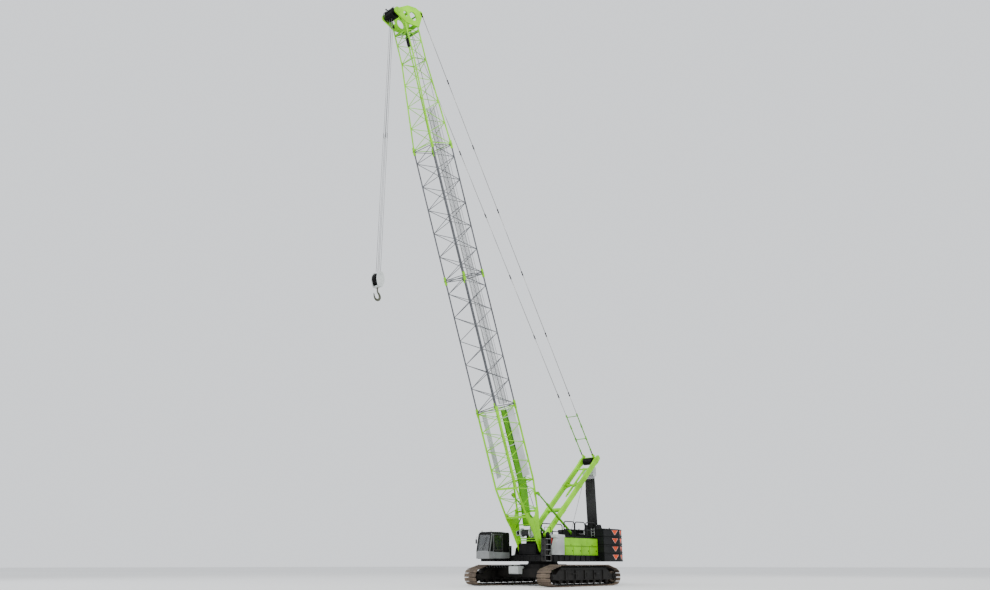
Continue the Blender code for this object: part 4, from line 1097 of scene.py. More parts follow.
    def _carbody(self) -> None:
        """Gussets and bolts on the carbody, the ring's bolts, a tool box in front and the drive hoses."""
        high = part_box("carbody")[1]
        ring_low, ring_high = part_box("slew_ring")
        trim = Shape()
        radius = (ring_high.x - ring_low.x) / 2
        trim.lathe([(0.3, 0), (radius + 0.05, 0), (radius + 0.05, 0.035), (0.3, 0.035)], (0, 0, high.z),
                   (0, 0, 1), 56)
        trim.bolts((0, 0, high.z + 0.035), (0, 0, 1), radius + 0.025, 44, 0.014, 0.018)
        for y in (-1.25, 1.25):
            for sign in (-1, 1):
                for face in (-0.31, 0.31):
                    rib = [(sign * 1.25, 1.05), (sign * 2.55, 1.05), (sign * 1.25, 1.27)]
                    plane = Matrix(((1, 0, 0, 0), (0, 0, -1, y + face), (0, 1, 0, 0), (0, 0, 0, 1)))
                    trim.prism(rib, -0.015, 0.015, plane)
                trim.box((sign * 2.6, y - 0.36, 0.5), (sign * 2.66, y + 0.36, 1.12), 0.01)
                trim.bolts((sign * 2.6, y, 0.8), (-sign, 0, 0), 0.24, 12, 0.02)
        self.kit.place("carbody_gussets", trim, DUSTY_BLACK, "undercarriage")
        box = Shape()
        front = -1.38 - 0.001
        box.box((-1.3, front - 0.62, 0.72), (-0.5, front, 1.21), 0.02)
        box.box((-1.27, front - 0.635, 0.76), (-0.53, front - 0.61, 1.16), 0.012)
        for x in (-1.15, -0.65):
            box.box((x - 0.05, front - 0.655, 0.93), (x + 0.05, front - 0.63, 0.97), 0.006)
        self.kit.place("carbody_tool_box", box, PALE, "undercarriage")
        hoses = Shape()
        for number in range(4):
            for sign in (-1, 1):
                x0, z = 0.35 + 0.06 * number, 0.95 + 0.03 * number
                path = [(sign * (x0 + (2.62 - x0) * t), 1.0 + 0.75 * t * t, z - 0.22 * sin(pi * t))
                        for t in (k / 10 for k in range(11))]
                hoses.sweep(path, 0.017, 8)
        self.kit.place("drive_hoses", hoses, RUBBER, "undercarriage")


# ---------------------------------------------------------------- upperworks
@dataclass
class Deck:
    """The upper frame, the housings, the steps, the rails and what stands on the deck."""

    kit: Kit
    half: float = 1.5
    bottom: float = 1.5
    top: float = 1.9
    front: float = -1.72
    housing_front: float = 0.42
    roof: float = 2.98
    rail_tube: float = 0.036

    def build(self) -> None:
        """Build and dress every piece of it."""
        self.kit.dress("upper_frame", BLACK)
        self.kit.dress("engine", DUSTY_BLACK)
        for side in Side:
            self.kit.dress(side.word + "_housing", GREEN)
            self._housing_trim(side)
            self._rails(side)
        for side, count in ((Side.LEFT, 4), (Side.RIGHT, 2)):
            for number in range(count):
                self._door(side, number + 1)
        self._louvres()
        self._steps()
        self._frame_trim()
        self._roof_gear()
        self._winches()
        self._fittings()

    def _housing_trim(self, side: Side) -> None:
        """Seams, roof edges, upper panels with handles and vents on one housing.

        Args:
            side: which housing.
        """
        sign = side.value
        low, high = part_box(side.word + "_housing")
        face = sign * self.half
        seams, panels = Shape(), Shape()
        middle = 2.47
        seams.box((face - sign * 0.004, low.y + 0.01, middle - 0.012),
                  (face + sign * 0.006, high.y - 0.01, middle + 0.012))
        length = (high.y - low.y - 0.16) / 3
        for number in range(3):
            y0 = low.y + 0.08 + number * length
            panel = rounded((y0 + 0.02, middle + 0.035), (y0 + length - 0.02, high.z - 0.05), 0.03)
            panels.side(panel, face - sign * 0.002, face + sign * 0.012, 0.004)
            seams.box((face + sign * 0.008, y0 + length / 2 - 0.07, middle + 0.07),
                      (face + sign * 0.03, y0 + length / 2 + 0.07, middle + 0.095), 0.006)
        edge = sign * (self.half + 0.012)
        panels.box((edge - sign * 0.06, low.y - 0.01, high.z - 0.012), (edge, high.y, high.z + 0.014), 0.006)
        for y in (low.y + 0.35, high.y - 0.35):
            ring = [(sign * 1.2 + 0.05 * cos(a), y,
                     high.z + 0.04 + 0.05 * sin(a)) for a in (tau * k / 16 for k in range(16))]
            seams.sweep(ring, 0.012, 6, closed=True)
        vents = Shape()
        for row in range(9):
            z = 2.08 + row * 0.085
            vents.box((sign * 0.86, low.y - 0.022, z), (sign * 1.18, low.y + 0.002, z + 0.045), 0.008)
        for number in range(14):
            y = low.y + 0.6 + number * 0.07
            vents.box((sign * 0.9, y, high.z - 0.002), (sign * 1.3, y + 0.04, high.z + 0.022), 0.006)
        self.kit.place(side.word + "_housing_panels", panels, GREEN, "upperworks")
        self.kit.place(side.word + "_housing_seams", seams, BLACK, "upperworks")
        self.kit.place(side.word + "_housing_vents", vents, BLACK, "upperworks")

    def _door(self, side: Side, number: int) -> None:
        """A door's pressed panel and its latch.

        Args:
            side: which housing.
            number: which door on it.
        """
        name = f"{side.word}_door_{number}"
        low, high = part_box(name)
        sign = side.value
        face = sign * self.half
        shape = Shape()
        panel = rounded((low.y + 0.09, low.z + 0.07), (high.y - 0.05, high.z - 0.07), 0.03)
        shape.side(panel, face - sign * 0.006, face + sign * 0.008, 0.005)
        self.kit.place(name + "_panel", shape, GREEN, name)
        latch = Shape()
        z = (low.z + high.z) / 2
        latch.box((face - sign * 0.002, high.y - 0.14, z - 0.045),
                  (face + sign * 0.02, high.y - 0.08, z + 0.045), 0.006)
        latch.box((face + sign * 0.018, high.y - 0.125, z - 0.03),
                  (face + sign * 0.03, high.y - 0.095, z + 0.015), 0.004)
        self.kit.place(name + "_latch", latch, BLACK, name)
        self.kit.dress(name, GREEN)

    def _rails(self, side: Side) -> None:
        """Guard rails with rounded corners in place of the plain ones.

        Args:
            side: which roof.
        """
        low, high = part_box(side.word + "_handrail")
        x = (low.x + high.x) / 2
        tube, bend = self.rail_tube, 0.2
        top, middle, foot = high.z - tube, low.z + 0.55, low.z
        y0, y1 = low.y + tube, high.y - tube
        shape = Shape()
        for share in range(3):
            start = y0 + (y1 - y0 + 0.07) * share / 3
            end = start + (y1 - y0 + 0.07) / 3 - 0.07
            corner = arc((end - bend, top - bend), bend, 90, 0, 6)
            front = arc((start + bend, top - bend), bend, 180, 90, 6)
            path = [(start, foot), *front, *corner, (end, foot)]
            shape.sweep([(x, *point) for point in path], tube, 10)
            shape.tube((x, start, middle), (x, end, middle), tube * 0.9, 10)
            for y in (start, end):
                shape.box((x - 0.05, y - 0.05, foot), (x + 0.05, y + 0.05, foot + 0.012), 0.004)
        shape.box((x - 0.006, y0, foot + 0.012), (x + 0.006, y1, foot + 0.13), 0.003)
        self.kit.place(side.word + "_guard_rails", shape, BLACK, "upperworks", [side.word + "_handrail"])

    def _louvres(self) -> None:
        """Slats and a frame on the slanting grey panel."""
        low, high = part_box("left_louvre_panel")
        self.kit.dress("left_louvre_panel", PALE)
        slats, rim = Shape(), Shape()
        lean = 0.5 / (high.z - low.z)
        rows = 11
        for row in range(rows):
            z = low.z + 0.14 + row * (high.z - low.z - 0.26) / rows
            y = low.y + lean * (z - low.z)
            outline = [(y + 0.07, z), (self.housing_front - 0.08, z), (self.housing_front - 0.08, z + 0.05),
                       (y + 0.095, z + 0.05)]
            slats.side(outline, high.x - 0.003, high.x + 0.012, 0.005)
        for z0, z1 in ((low.z + 0.01, low.z + 0.06), (high.z - 0.07, high.z - 0.02)):
            y0 = low.y + lean * (z0 - low.z)
            rim.box((high.x - 0.002, y0 + 0.02, z0), (high.x + 0.014, self.housing_front - 0.01, z1), 0.004)
        front = [(low.y + 0.02, low.z + 0.02), (low.y + 0.055, low.z + 0.02),
                 (low.y + 0.055 + lean * (high.z - low.z - 0.04), high.z - 0.02),
                 (low.y + 0.02 + lean * (high.z - low.z - 0.04), high.z - 0.02)]
        rim.side(front, high.x - 0.002, high.x + 0.014)
        rim.box((high.x - 0.002, self.housing_front - 0.05, low.z + 0.02),
                (high.x + 0.014, self.housing_front - 0.01, high.z - 0.03), 0.004)
        crown = [(low.y + 0.4, high.z - 0.01), (self.housing_front + 0.16, high.z - 0.01),
                 (self.housing_front + 0.12, high.z + 0.17), (low.y + 0.47, high.z + 0.19)]
        rim.side(crown, high.x - 0.5, high.x - 0.01, 0.025)
        self.kit.place("louvre_slats", slats, PALE, "upperworks")
        self.kit.place("louvre_rim", rim, PALE, "upperworks")

    def _steps(self) -> None:
        """Tread-plate steps with pale edges, on two stringers, with a grab rail."""
        low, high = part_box("deck_ladder")
        plates, edges, rail = Shape(), Shape(), Shape()
        for x in (low.x + 0.012, high.x - 0.024):
            plates.box((x, low.y, low.z), (x + 0.024, low.y + 0.1, high.z), 0.006)
            plates.box((x, high.y - 0.1, low.z), (x + 0.024, high.y, high.z), 0.006)
        plates.box((low.x, low.y + 0.02, low.z), (low.x + 0.02, high.y, high.z), 0.006)
        for step in range(5):
            z = low.z + 0.34 * step
            plates.box((low.x + 0.01, low.y + 0.03, z), (high.x - 0.006, high.y - 0.02, z + 0.035), 0.006)
            edges.box((high.x - 0.014, low.y + 0.14, z + 0.012), (high.x + 0.002, high.y - 0.05, z + 0.036),
                      0.005)
        for y in (low.y + 0.04, high.y - 0.04):
            bend = [(high.x - 0.012, y, high.z - 0.6 + k * 0.1) for k in range(14)]
            rail.sweep(bend, 0.017, 8)
        rail.tube((high.x - 0.012, low.y + 0.04, high.z + 0.7),
                  (high.x - 0.012, high.y - 0.04, high.z + 0.7), 0.017, 8)
        self.kit.place("deck_steps", plates, TREAD, "upperworks", ["deck_ladder"])
        self.kit.place("deck_step_edges", edges, MESH_GREY, "upperworks")
        self.kit.place("deck_grab_rails", rail, BLACK, "upperworks")

    def _frame_trim(self) -> None:
        """The sills' lower flange and bolts, the walkway between the housings and the deck's edge plates."""
        trim, walk = Shape(), Shape()
        for side in Side:
            sign = side.value
            face = sign * self.half
            for z0, z1 in ((self.bottom, self.bottom + 0.035), (self.top - 0.035, self.top)):
                trim.box((face - sign * 0.01, -0.95, z0), (face + sign * 0.045, 4.28, z1), 0.006)
            for number in range(9):
                y = -0.8 + number * 0.6
                rib = [(y - 0.012, self.bottom + 0.03), (y + 0.012, self.bottom + 0.03),
                       (y + 0.012, self.top - 0.03), (y - 0.012, self.top - 0.03)]
                trim.side(rib, face - sign * 0.002, face + sign * 0.036)
            trim.bolts((face, 3.9, 1.7), (sign, 0, 0), 0.1, 8, 0.018)
        trim.box((-1.17, self.front - 0.03, self.bottom + 0.03),
                 (1.17, self.front + 0.004, self.bottom + 0.09), 0.006)
        trim.box((-1.17, self.front - 0.03, self.top - 0.08), (1.17, self.front + 0.004, self.top - 0.02),
                 0.006)
        for x in (-0.75, -0.25, 0.25, 0.75):
            trim.box((x - 0.012, self.front - 0.026, self.bottom + 0.08),
                     (x + 0.012, self.front + 0.004, self.top - 0.07), 0.004)
        for y0, y1 in ((0.95, 1.55), (2.1, 2.55), (3.42, 4.2)):
            walk.box((-0.36, y0, self.top), (0.36, y1, self.top + 0.03), 0.006)
        walk.box((-1.1, -1.66, self.top), (-1.04, -0.3, self.top + 0.05), 0.006)
        self.kit.place("deck_trim", trim, BLACK, "upperworks")
        self.kit.place("deck_walkway", walk, TREAD, "upperworks")

    def _roof_gear(self) -> None:
        """A silencer with its tail pipe, and roof hatches."""
        shape, pipe = Shape(), Shape()
        roof = self.roof
        shape.box((0.84, 2.55, roof), (1.32, 3.55, roof + 0.09), 0.02)
        shape.box((-1.34, 1.0, roof), (-0.86, 2.0, roof + 0.07), 0.02)
        shape.box((-1.3, 2.6, roof), (-0.9, 3.4, roof + 0.16), 0.03)
        shape.box((0.98, 0.75, roof), (1.28, 1.45, roof + 0.13), 0.02)
        shape.lathe([(0, 0), (0.12, 0), (0.135, 0.03), (0.135, 0.55), (0.12, 0.58), (0, 0.58)],
                    (1.08, 2.6, roof + 0.22), (0, 1, 0), 24)
        bend = [(1.08, 3.16, roof + 0.22), (1.08, 3.26, roof + 0.23), (1.08, 3.33, roof + 0.3),
                (1.08, 3.35, roof + 0.42), (1.08, 3.36, roof + 0.62)]
        pipe.sweep(bend, 0.05, 14)
        self.kit.place("roof_hatches", shape, BLACK, "upperworks")
        self.kit.place("exhaust_pipe", pipe, STEEL, "upperworks")

    def _winches(self) -> None:
        """Rope laid on both drums, and the drums' flanged spools with bolts."""
        for name, finish in (("hoist_drum", PALE), ("luffing_drum", BLACK)):
            low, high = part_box(name)
            centre = (low + high) / 2
            half = (high.x - low.x) / 2 - 0.05
            shape, rope = Shape(), Shape()
            shape.lathe([(0, half + 0.05), (0.09, half + 0.05), (0.09, half), (0.34, half),
                         (0.36, half - 0.012),
                         (0.36, half - 0.028), (0.34, half - 0.04), (0.262, half - 0.04),
                         (0.25, half - 0.06),
                         (0.25, 0.06 - half), (0.262, 0.04 - half), (0.34, 0.04 - half),
                         (0.36, 0.028 - half),
                         (0.36, 0.012 - half), (0.34, -half), (0.09, -half), (0.09, -half - 0.05),
                         (0, -half - 0.05)],
                        (0, centre.y, centre.z), (1, 0, 0), 40)
            for wing in (-1, 1):
                shape.bolts((wing * half, centre.y, centre.z), (wing, 0, 0), 0.16, 8, 0.014)
            size = 0.014
            turns = int((2 * half - 0.1) / (2 * size))
            path = []
            for step in range(turns * 20):
                angle = tau * step / 20
                x = -half + 0.05 + size + 2 * size * step / 20
                path.append((x, centre.y + 0.262 * cos(angle), centre.z + 0.262 * sin(angle)))
            rope.sweep(path, size, 6)
            self.kit.place(name + "_spool", shape, finish, name, [name])
            self.kit.place(name + "_rope", rope, ROPE, name)

    def _fittings(self) -> None:
        """Lamps, an extinguisher by the boom's foot, a tank and hydraulic lines on the deck."""
        lamps, red, tank, lines = Shape(), Shape(), Shape(), Shape()
        for x, y, z in ((1.34, 0.3, 3.06), (-1.2, 0.3, 3.06)):
            lamps.lathe([(0, 0), (0.06, 0), (0.075, 0.03), (0.075, 0.08), (0, 0.085)], (x, y, z),
                        (0, -1, 0), 20)
        red.lathe([(0, 0), (0.06, 0), (0.07, 0.02), (0.07, 0.36), (0.04, 0.42), (0.02, 0.47), (0, 0.47)],
                  (1.05, -0.35, 2.62), (0, 0, 1), 20, True)
        red.tube((1.05, -0.35, 3.07), (1.05, -0.43, 3.13), 0.012, 8)
        tank.box((-0.74, 0.62, self.top), (-0.44, 1.02, 2.46), 0.03)
        tank.box((-0.72, -1.68, self.top), (0.72, -0.75, 2.62), 0.04)
        tank.box((-0.66, -1.7, 2.02), (-0.05, -1.66, 2.5), 0.015)
        tank.box((0.05, -1.7, 2.02), (0.66, -1.66, 2.5), 0.015)
        tank.box((-0.5, -0.75, self.top), (0.5, 0.5, 2.2), 0.04)
        tank.box((0.46, 1.0, self.top), (0.74, 1.62, 2.3), 0.03)
        for number in range(5):
            x = -0.3 + 0.05 * number
            lines.sweep([(x, 0.9, self.top + 0.05), (x, 1.6, self.top + 0.06 + 0.01 * number),
                         (x, 2.4, self.top + 0.05)], 0.014, 8)
            lines.sweep([(x, -0.1, self.top + 0.04), (x - 0.1, -0.7, self.top + 0.1),
                         (x - 0.2, -1.3, self.top + 0.04)], 0.014, 8)
        self.kit.place("deck_lamps", lamps, LAMP, "upperworks")
        self.kit.place("fire_extinguisher", red, RED, "upperworks")
        self.kit.place("deck_tanks", tank, BLACK, "upperworks")
        self.kit.place("deck_hoses", lines, RUBBER, "upperworks")


@dataclass
class Counterweight:
    """The base slab, three slabs on each side, and their warning triangles."""

    kit: Kit
    slabs: int = 3
    inner: float = 0.66
    corner_y: float = 6.35
    rear_half: float = 1.72
    recess: float = 0.02

    def build(self) -> None:
        """Build and dress every piece of it."""
        names = ["counterweight_base"]
        for side in Side:
            names += [f"{side.word}_counterweight_{number + 1}" for number in range(self.slabs)]
        for name in names:
            self._slab(name)
        self._triangles()
        self._lugs()
        self._ladder()

    def _slab(self, name: str) -> None:
        """One slab with chamfered edges and a cast recess line round it.

        Args:
            name: the CAD node that it stands for.
        """
        low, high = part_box(name)
        full = low.x < -1 and high.x > 1
        half = max(abs(low.x), abs(high.x))
        sign = 1 if high.x > 1 else -1
        ring = [(half, low.y), (half, self.corner_y), (self.rear_half, high.y)]
        if full:
            outline = ring + [(-x, y) for x, y in reversed(ring)]
        else:
            outline = [(sign * x, y) for x, y in [(self.inner, low.y)] + ring + [(self.inner, high.y)]]
        area = sum(a[0] * b[1] - b[0] * a[1] for a, b in zip(outline, outline[1:] + outline[:1]))
        if area < 0:
            outline.reverse()
        shape = Shape()
        levels = ((low.z, 0.035), (low.z + 0.035, 0.0), (low.z + 0.12, 0.0), (low.z + 0.13, self.recess),
                  (high.z - 0.1, self.recess), (high.z - 0.09, 0.0), (high.z - 0.035, 0.0),
                  (high.z - 0.006, 0.035),
                  (high.z, 0.06))
        rings = []
        for z, inset in levels:
            rings.append([(x, y, z) for x, y in shrunk(outline, inset)])
        shape.loft(rings)
        self.kit.place(name + "_cast", shape, BALLAST, "upperworks", [name], crease=20)

    def _triangles(self) -> None:
        """Orange triangles, point down with pale edges: on each slab's side and on its rear corner."""
        orange, white = Shape(), Shape()
        base_low, base_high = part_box("counterweight_base")
        step = 0.55
        for side in Side:
            sign = side.value
            corner = Vector((sign * base_high.x, self.corner_y, 0))
            rear = Vector((sign * self.rear_half, base_high.y, 0))
            run = (rear - corner).normalized()
            for level in range(self.slabs + 1):
                z = base_low.z + level * step
                spots = ((Vector((sign * base_high.x, 5.78, 0)), Vector((0, 1, 0)), Vector((sign, 0, 0)),
                          1.5),
                         ((corner + rear) / 2, run, Vector((sign * abs(run.y), abs(run.x), 0)), 1.1))
                for middle, across, out, wide in spots:
                    skin = middle + Vector((0, 0, z)) - out * (self.recess - 0.001)
                    for shape, size, proud in ((white, 0.275, 0.006), (orange, 0.235, 0.01)):
                        points = [skin + across * x * wide * size + Vector((0, 0, 0.30 + y * size)) for x,
                                  y in
                                  ((-1, 0.62), (1, 0.62), (0, -0.72))]
                        prism = [points, [point + out * proud for point in points]]
                        shape.loft(prism)
        self.kit.place("warning_triangles", orange, ORANGE, "upperworks")
        self.kit.place("warning_triangle_edges", white, WHITE, "upperworks")

    def _lugs(self) -> None:
        """Lifting lugs on the top slabs."""
        shape = Shape()
        _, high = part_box(f"left_counterweight_{self.slabs}")
        for side in Side:
            for y in (4.75, 6.1):
                x = side.value * 1.33
                outline = [(y - 0.1, high.z - 0.004)] + arc((y, high.z + 0.06), 0.06, 180, 0,
                                                            8) + [(y + 0.1, high.z - 0.004)]
                hole = arc((y, high.z + 0.06), 0.025, 0, 330, 11)
                shape.sawn([outline, hole], x - 0.015, x + 0.015)
        self.kit.place("ballast_lifting_lugs", shape, BALLAST, "upperworks")

    def _ladder(self) -> None:
        """A short pale ladder in the gap between the housing roof and the ballast."""
        shape = Shape()
        for x in (1.0, 1.25):
            shape.tube((x, 4.315, 2.99), (x, 4.315, 3.72), 0.016, 8)
        for rung in range(4):
            z = 3.06 + 0.19 * rung
            shape.tube((1.0, 4.315, z), (1.25, 4.315, z), 0.012, 8)
        self.kit.place("ballast_ladder", shape, MESH_GREY, "upperworks")


@dataclass
class Cab:
    """The operator's cab on the right: its frame, glass, trim, inside and the door."""

    kit: Kit
    rake: float = 0.22
    sill: float = 0.45

    def build(self) -> None:
        """Build and dress every piece of it."""
        for node, finish in (("cab_shell", CAB_GREY), ("cab_door", CAB_GREY), ("cab_bracket", BLACK),
                             ("cab_seat", CLOTH),
                             ("windscreen", GLASS), ("cab_side_glass", GLASS), ("cab_rear_glass", GLASS),
                             ("cab_door_glass", GLASS)):
            self.kit.dress(node, finish)
        low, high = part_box("cab_shell")
        self._trim(low, high)
        self._inside(low, high)
        self._door()

    def _trim(self, low: Vector, high: Vector) -> None:
        """The roof's edge, lamps, wiper, mirror, grab rails and roof guard.

        Args:
            low: the shell's lowest corner.
            high: its highest corner.
        """
        black, lamps, rails, glazing = Shape(), Shape(), Shape(), Shape()
        left, right = high.x - 0.05, low.x
        roof = [(low.y + self.rake + 0.1, high.z - 0.03), (high.y - 0.09, high.z - 0.03),
                (high.y - 0.09, high.z + 0.018),
                (low.y + self.rake + 0.14, high.z + 0.018)]
        black.side(roof, right + 0.03, left - 0.04, 0.01)
        slope = self.rake / (high.z - 0.12 - low.z - self.sill)
        for x in (right + 0.05, left - 0.06):
            start = Vector((x, low.y + 0.002, low.z + self.sill + 0.02))
            end = Vector((x, low.y + slope * (high.z - low.z - self.sill - 0.14), high.z - 0.12))
            black.bar(start, end, 0.05, 0.02)
        for number in range(5):
            x = right + 0.2 + number * (left - right - 0.4) / 4
            black.tube((x, low.y + self.rake + 0.05, high.z + 0.02), (x, high.y - 0.3, high.z + 0.05),
                       0.011, 8)
        wiper = Vector((right + 0.5, low.y - 0.005, low.z + self.sill + 0.05))
        black.tube(wiper, wiper + Vector((0.18, 0.115, 0.56)), 0.008, 6)
        black.bar(wiper + Vector((0.1, 0.02, 0.2)), wiper + Vector((0.26, 0.16, 0.86)), 0.02, 0.012)
        for x in (right + 0.16, left - 0.2):
            lamps.lathe([(0, 0), (0.05, 0), (0.062, 0.02), (0.062, 0.07), (0, 0.075)],
                        (x, low.y + self.rake + 0.2, high.z + 0.075), (0, -1, 0), 18)
        front = low.y + 0.3
        rails.sweep([(left + 0.02, front, low.z + 0.5), (left + 0.07, front, low.z + 0.55),
                     (left + 0.07, front, high.z - 0.6), (left + 0.02, front, high.z - 0.55)], 0.013, 8)
        arm = [(right - 0.005, low.y + 0.3, high.z - 0.3), (right - 0.12, low.y + 0.18, high.z - 0.28),
               (right - 0.14, low.y + 0.14, high.z - 0.45)]
        rails.sweep(arm, 0.012, 8)
        black.box((right - 0.2, low.y + 0.12, high.z - 0.72), (right - 0.06, low.y + 0.15, high.z - 0.44),
                  0.012)
        black.box((right + 0.1, low.y + 0.02, low.z - 0.02), (left - 0.1, high.y - 0.02, low.z + 0.004),
                  0.01)
        rear = [(high.y - 0.02, low.z + 0.4), (high.y - 0.02, high.z - 0.3), (high.y - 0.12, high.z - 0.1),
                (high.y - 0.75, high.z - 0.1), (high.y - 0.75, low.z + 0.4)]
        glazing.side(rear, left - 0.012, left + 0.0035, 0.003)
        sill = low.z + self.sill
        top = high.z - 0.1
        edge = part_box("cab_door")[0].y + 0.05
        front = [(low.y + 0.1, sill), (edge, sill), (edge, top), (low.y + 0.1 + slope * (top - sill), top)]
        glazing.side(front, left - 0.012, left + 0.0035, 0.003)
        cap = [(low.y + self.rake + 0.03, high.z - 0.13), (high.y + 0.003, high.z - 0.13),
               (high.y + 0.003, high.z - 0.06),
               (high.y - 0.05, high.z + 0.008), (low.y + self.rake + 0.08, high.z + 0.008)]
        glazing.side(cap, right - 0.003, left + 0.003, 0.02)
        for x in (right + 0.05, left - 0.05):
            glazing.bar((x, low.y - 0.004, sill), (x, low.y + slope * (top - sill) - 0.004, top), 0.1, 0.02)
        glazing.bar((right + 0.05, low.y + slope * (top - sill) - 0.002, top),
                    (left - 0.05, low.y + slope * (top - sill) - 0.002, top),
                    0.02, 0.12, (0, 1, 0))
        self.kit.place("cab_side_panels", glazing, BLACK, "upperworks")
        self.kit.place("cab_trim", black, BLACK, "upperworks")
        self.kit.place("cab_lamps", lamps, LAMP, "upperworks")
        self.kit.place("cab_grab_rails", rails, BLACK, "upperworks")

    def _inside(self, low: Vector, high: Vector) -> None:
        """Consoles, levers, a screen, pedals and the seat's shaped cushions.

        Args:
            low: the shell's lowest corner.
            high: its highest corner.
        """
        floor, middle = low.z + 0.062, (low.x + high.x - 0.06) / 2
        black, seat = Shape(), Shape()
        for wing in (-1, 1):
            x = middle + wing * 0.36
            black.box((x - 0.09, -2.45, floor), (x + 0.09, -1.75, floor + 0.62), 0.03)
            black.tube((x, -2.32, floor + 0.61), (x, -2.36, floor + 0.8), 0.012, 8)
            black.lathe([(0, 0), (0.026, 0), (0.03, 0.05), (0.022, 0.1), (0, 0.11)],
                        (x, -2.36, floor + 0.79), (0, 0, 1), 12, True)
        black.box((middle + 0.28, -2.98, floor + 0.75), (middle + 0.44, -2.94, floor + 1.0), 0.012)
        black.tube((middle + 0.36, -2.95, floor), (middle + 0.36, -2.95, floor + 0.8), 0.016, 8)
        for wing in (-1, 1):
            black.box((middle + wing * 0.14 - 0.05, -2.95, floor + 0.03),
                      (middle + wing * 0.14 + 0.05, -2.75, floor + 0.06), 0.008)
        seat.prism(rounded((middle - 0.25, -2.38), (middle + 0.25, -1.86), 0.09), floor + 0.33,
                   floor + 0.48, edge=0.03)
        back = Matrix.Translation((0, -1.81, floor + 0.45)) @ Matrix.Rotation(radians(76), 4, "X")
        seat.prism(rounded((middle - 0.24, 0.0), (middle + 0.24, 0.66), 0.1), -0.06, 0.06, back, edge=0.028)
        seat.prism(rounded((middle - 0.13, 0.69), (middle + 0.13, 0.88), 0.06), -0.045, 0.045, back,
                   edge=0.02)
        black.box((middle - 0.16, -2.26, floor), (middle + 0.16, -1.94, floor + 0.33), 0.03)
        self.kit.place("cab_consoles", black, BLACK, "upperworks")
        self.kit.place("cab_seat_cushions", seat, CLOTH, "upperworks", ["cab_seat"])

    def _door(self) -> None:
        """The sliding door: a pressed grey panel, a black frame round the window, its seal and handle."""
        low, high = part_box("cab_door")
        face = high.x
        seal = Shape()
        glass_low, glass_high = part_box("cab_door_glass")
        outer = rounded((glass_low.y - 0.035, glass_low.z - 0.035),
                        (glass_high.y + 0.035, glass_high.z + 0.035), 0.05)
        inner = rounded((glass_low.y + 0.012, glass_low.z + 0.012),
                        (glass_high.y - 0.012, glass_high.z - 0.012), 0.04)
        seal.sawn([outer, inner], face - 0.002, face + 0.012)
        seal.box((face, high.y - 0.13, low.z + 0.78), (face + 0.035, high.y - 0.09, low.z + 1.0), 0.008)
        self.kit.place("cab_door_seal", seal, RUBBER, "cab_door")
        frame_ring = Shape()
        ring = rounded((low.y + 0.015, low.z + 0.34), (high.y - 0.015, high.z - 0.015), 0.06)
        frame_ring.sawn([ring, outer], face - 0.002, face + 0.006)
        self.kit.place("cab_door_frame", frame_ring, BLACK, "cab_door")


@dataclass
class LowerBlock:
    """The luffing gear's lower block between the ballast stacks."""

    kit: Kit

    def build(self) -> None:
        """Build its flared cheeks, the pin across them and a pale rim on top."""
        low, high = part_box("luffing_block")
        centre = pivot("luffing_rope_swing")
        shape, pale = Shape(), Shape()
        outline = [(low.y, low.z), (high.y, low.z), (high.y, low.z + 0.35), (centre.y + 0.4, 3.5),
                   (centre.y + 0.36, 3.75),
                   (centre.y + 0.2, high.z), (centre.y - 0.2, high.z), (centre.y - 0.36, 3.75),
                   (centre.y - 0.4, 3.5), (low.y, low.z + 0.35)]
        hole = arc((centre.y, 3.15), 0.17, 0, 345, 23)
        for wing in (-1, 1):
            shape.sawn([outline, hole], wing * 0.49, wing * 0.55)
            shape.side([(low.y + 0.1, 2.7), (low.y + 0.16, 2.7), (low.y + 0.2, 3.4), (low.y + 0.14, 3.4)],
                       wing * 0.545, wing * 0.585)
            shape.side([(high.y - 0.16, 2.7), (high.y - 0.1, 2.7), (high.y - 0.14, 3.4),
                        (high.y - 0.2, 3.4)], wing * 0.545, wing * 0.585)
            shape.bolts((wing * 0.55, centre.y, centre.z), (wing, 0, 0), 0.13, 8, 0.018)
        shape.box((-0.5, centre.y - 0.3, low.z), (0.5, centre.y + 0.3, low.z + 0.05), 0.008)
        shape.tube((-0.58, centre.y, centre.z), (0.58, centre.y, centre.z), 0.058, 20)
        for wing in (-1, 1):
            pale.box((wing * 0.43, centre.y - 0.2, high.z - 0.12),
                     (wing * 0.5, centre.y + 0.2, high.z - 0.05), 0.01)
        self.kit.place("luffing_lower_block", shape, BLACK, "upperworks", ["luffing_block"])
        self.kit.place("luffing_lower_block_rim", pale, PALE, "upperworks")


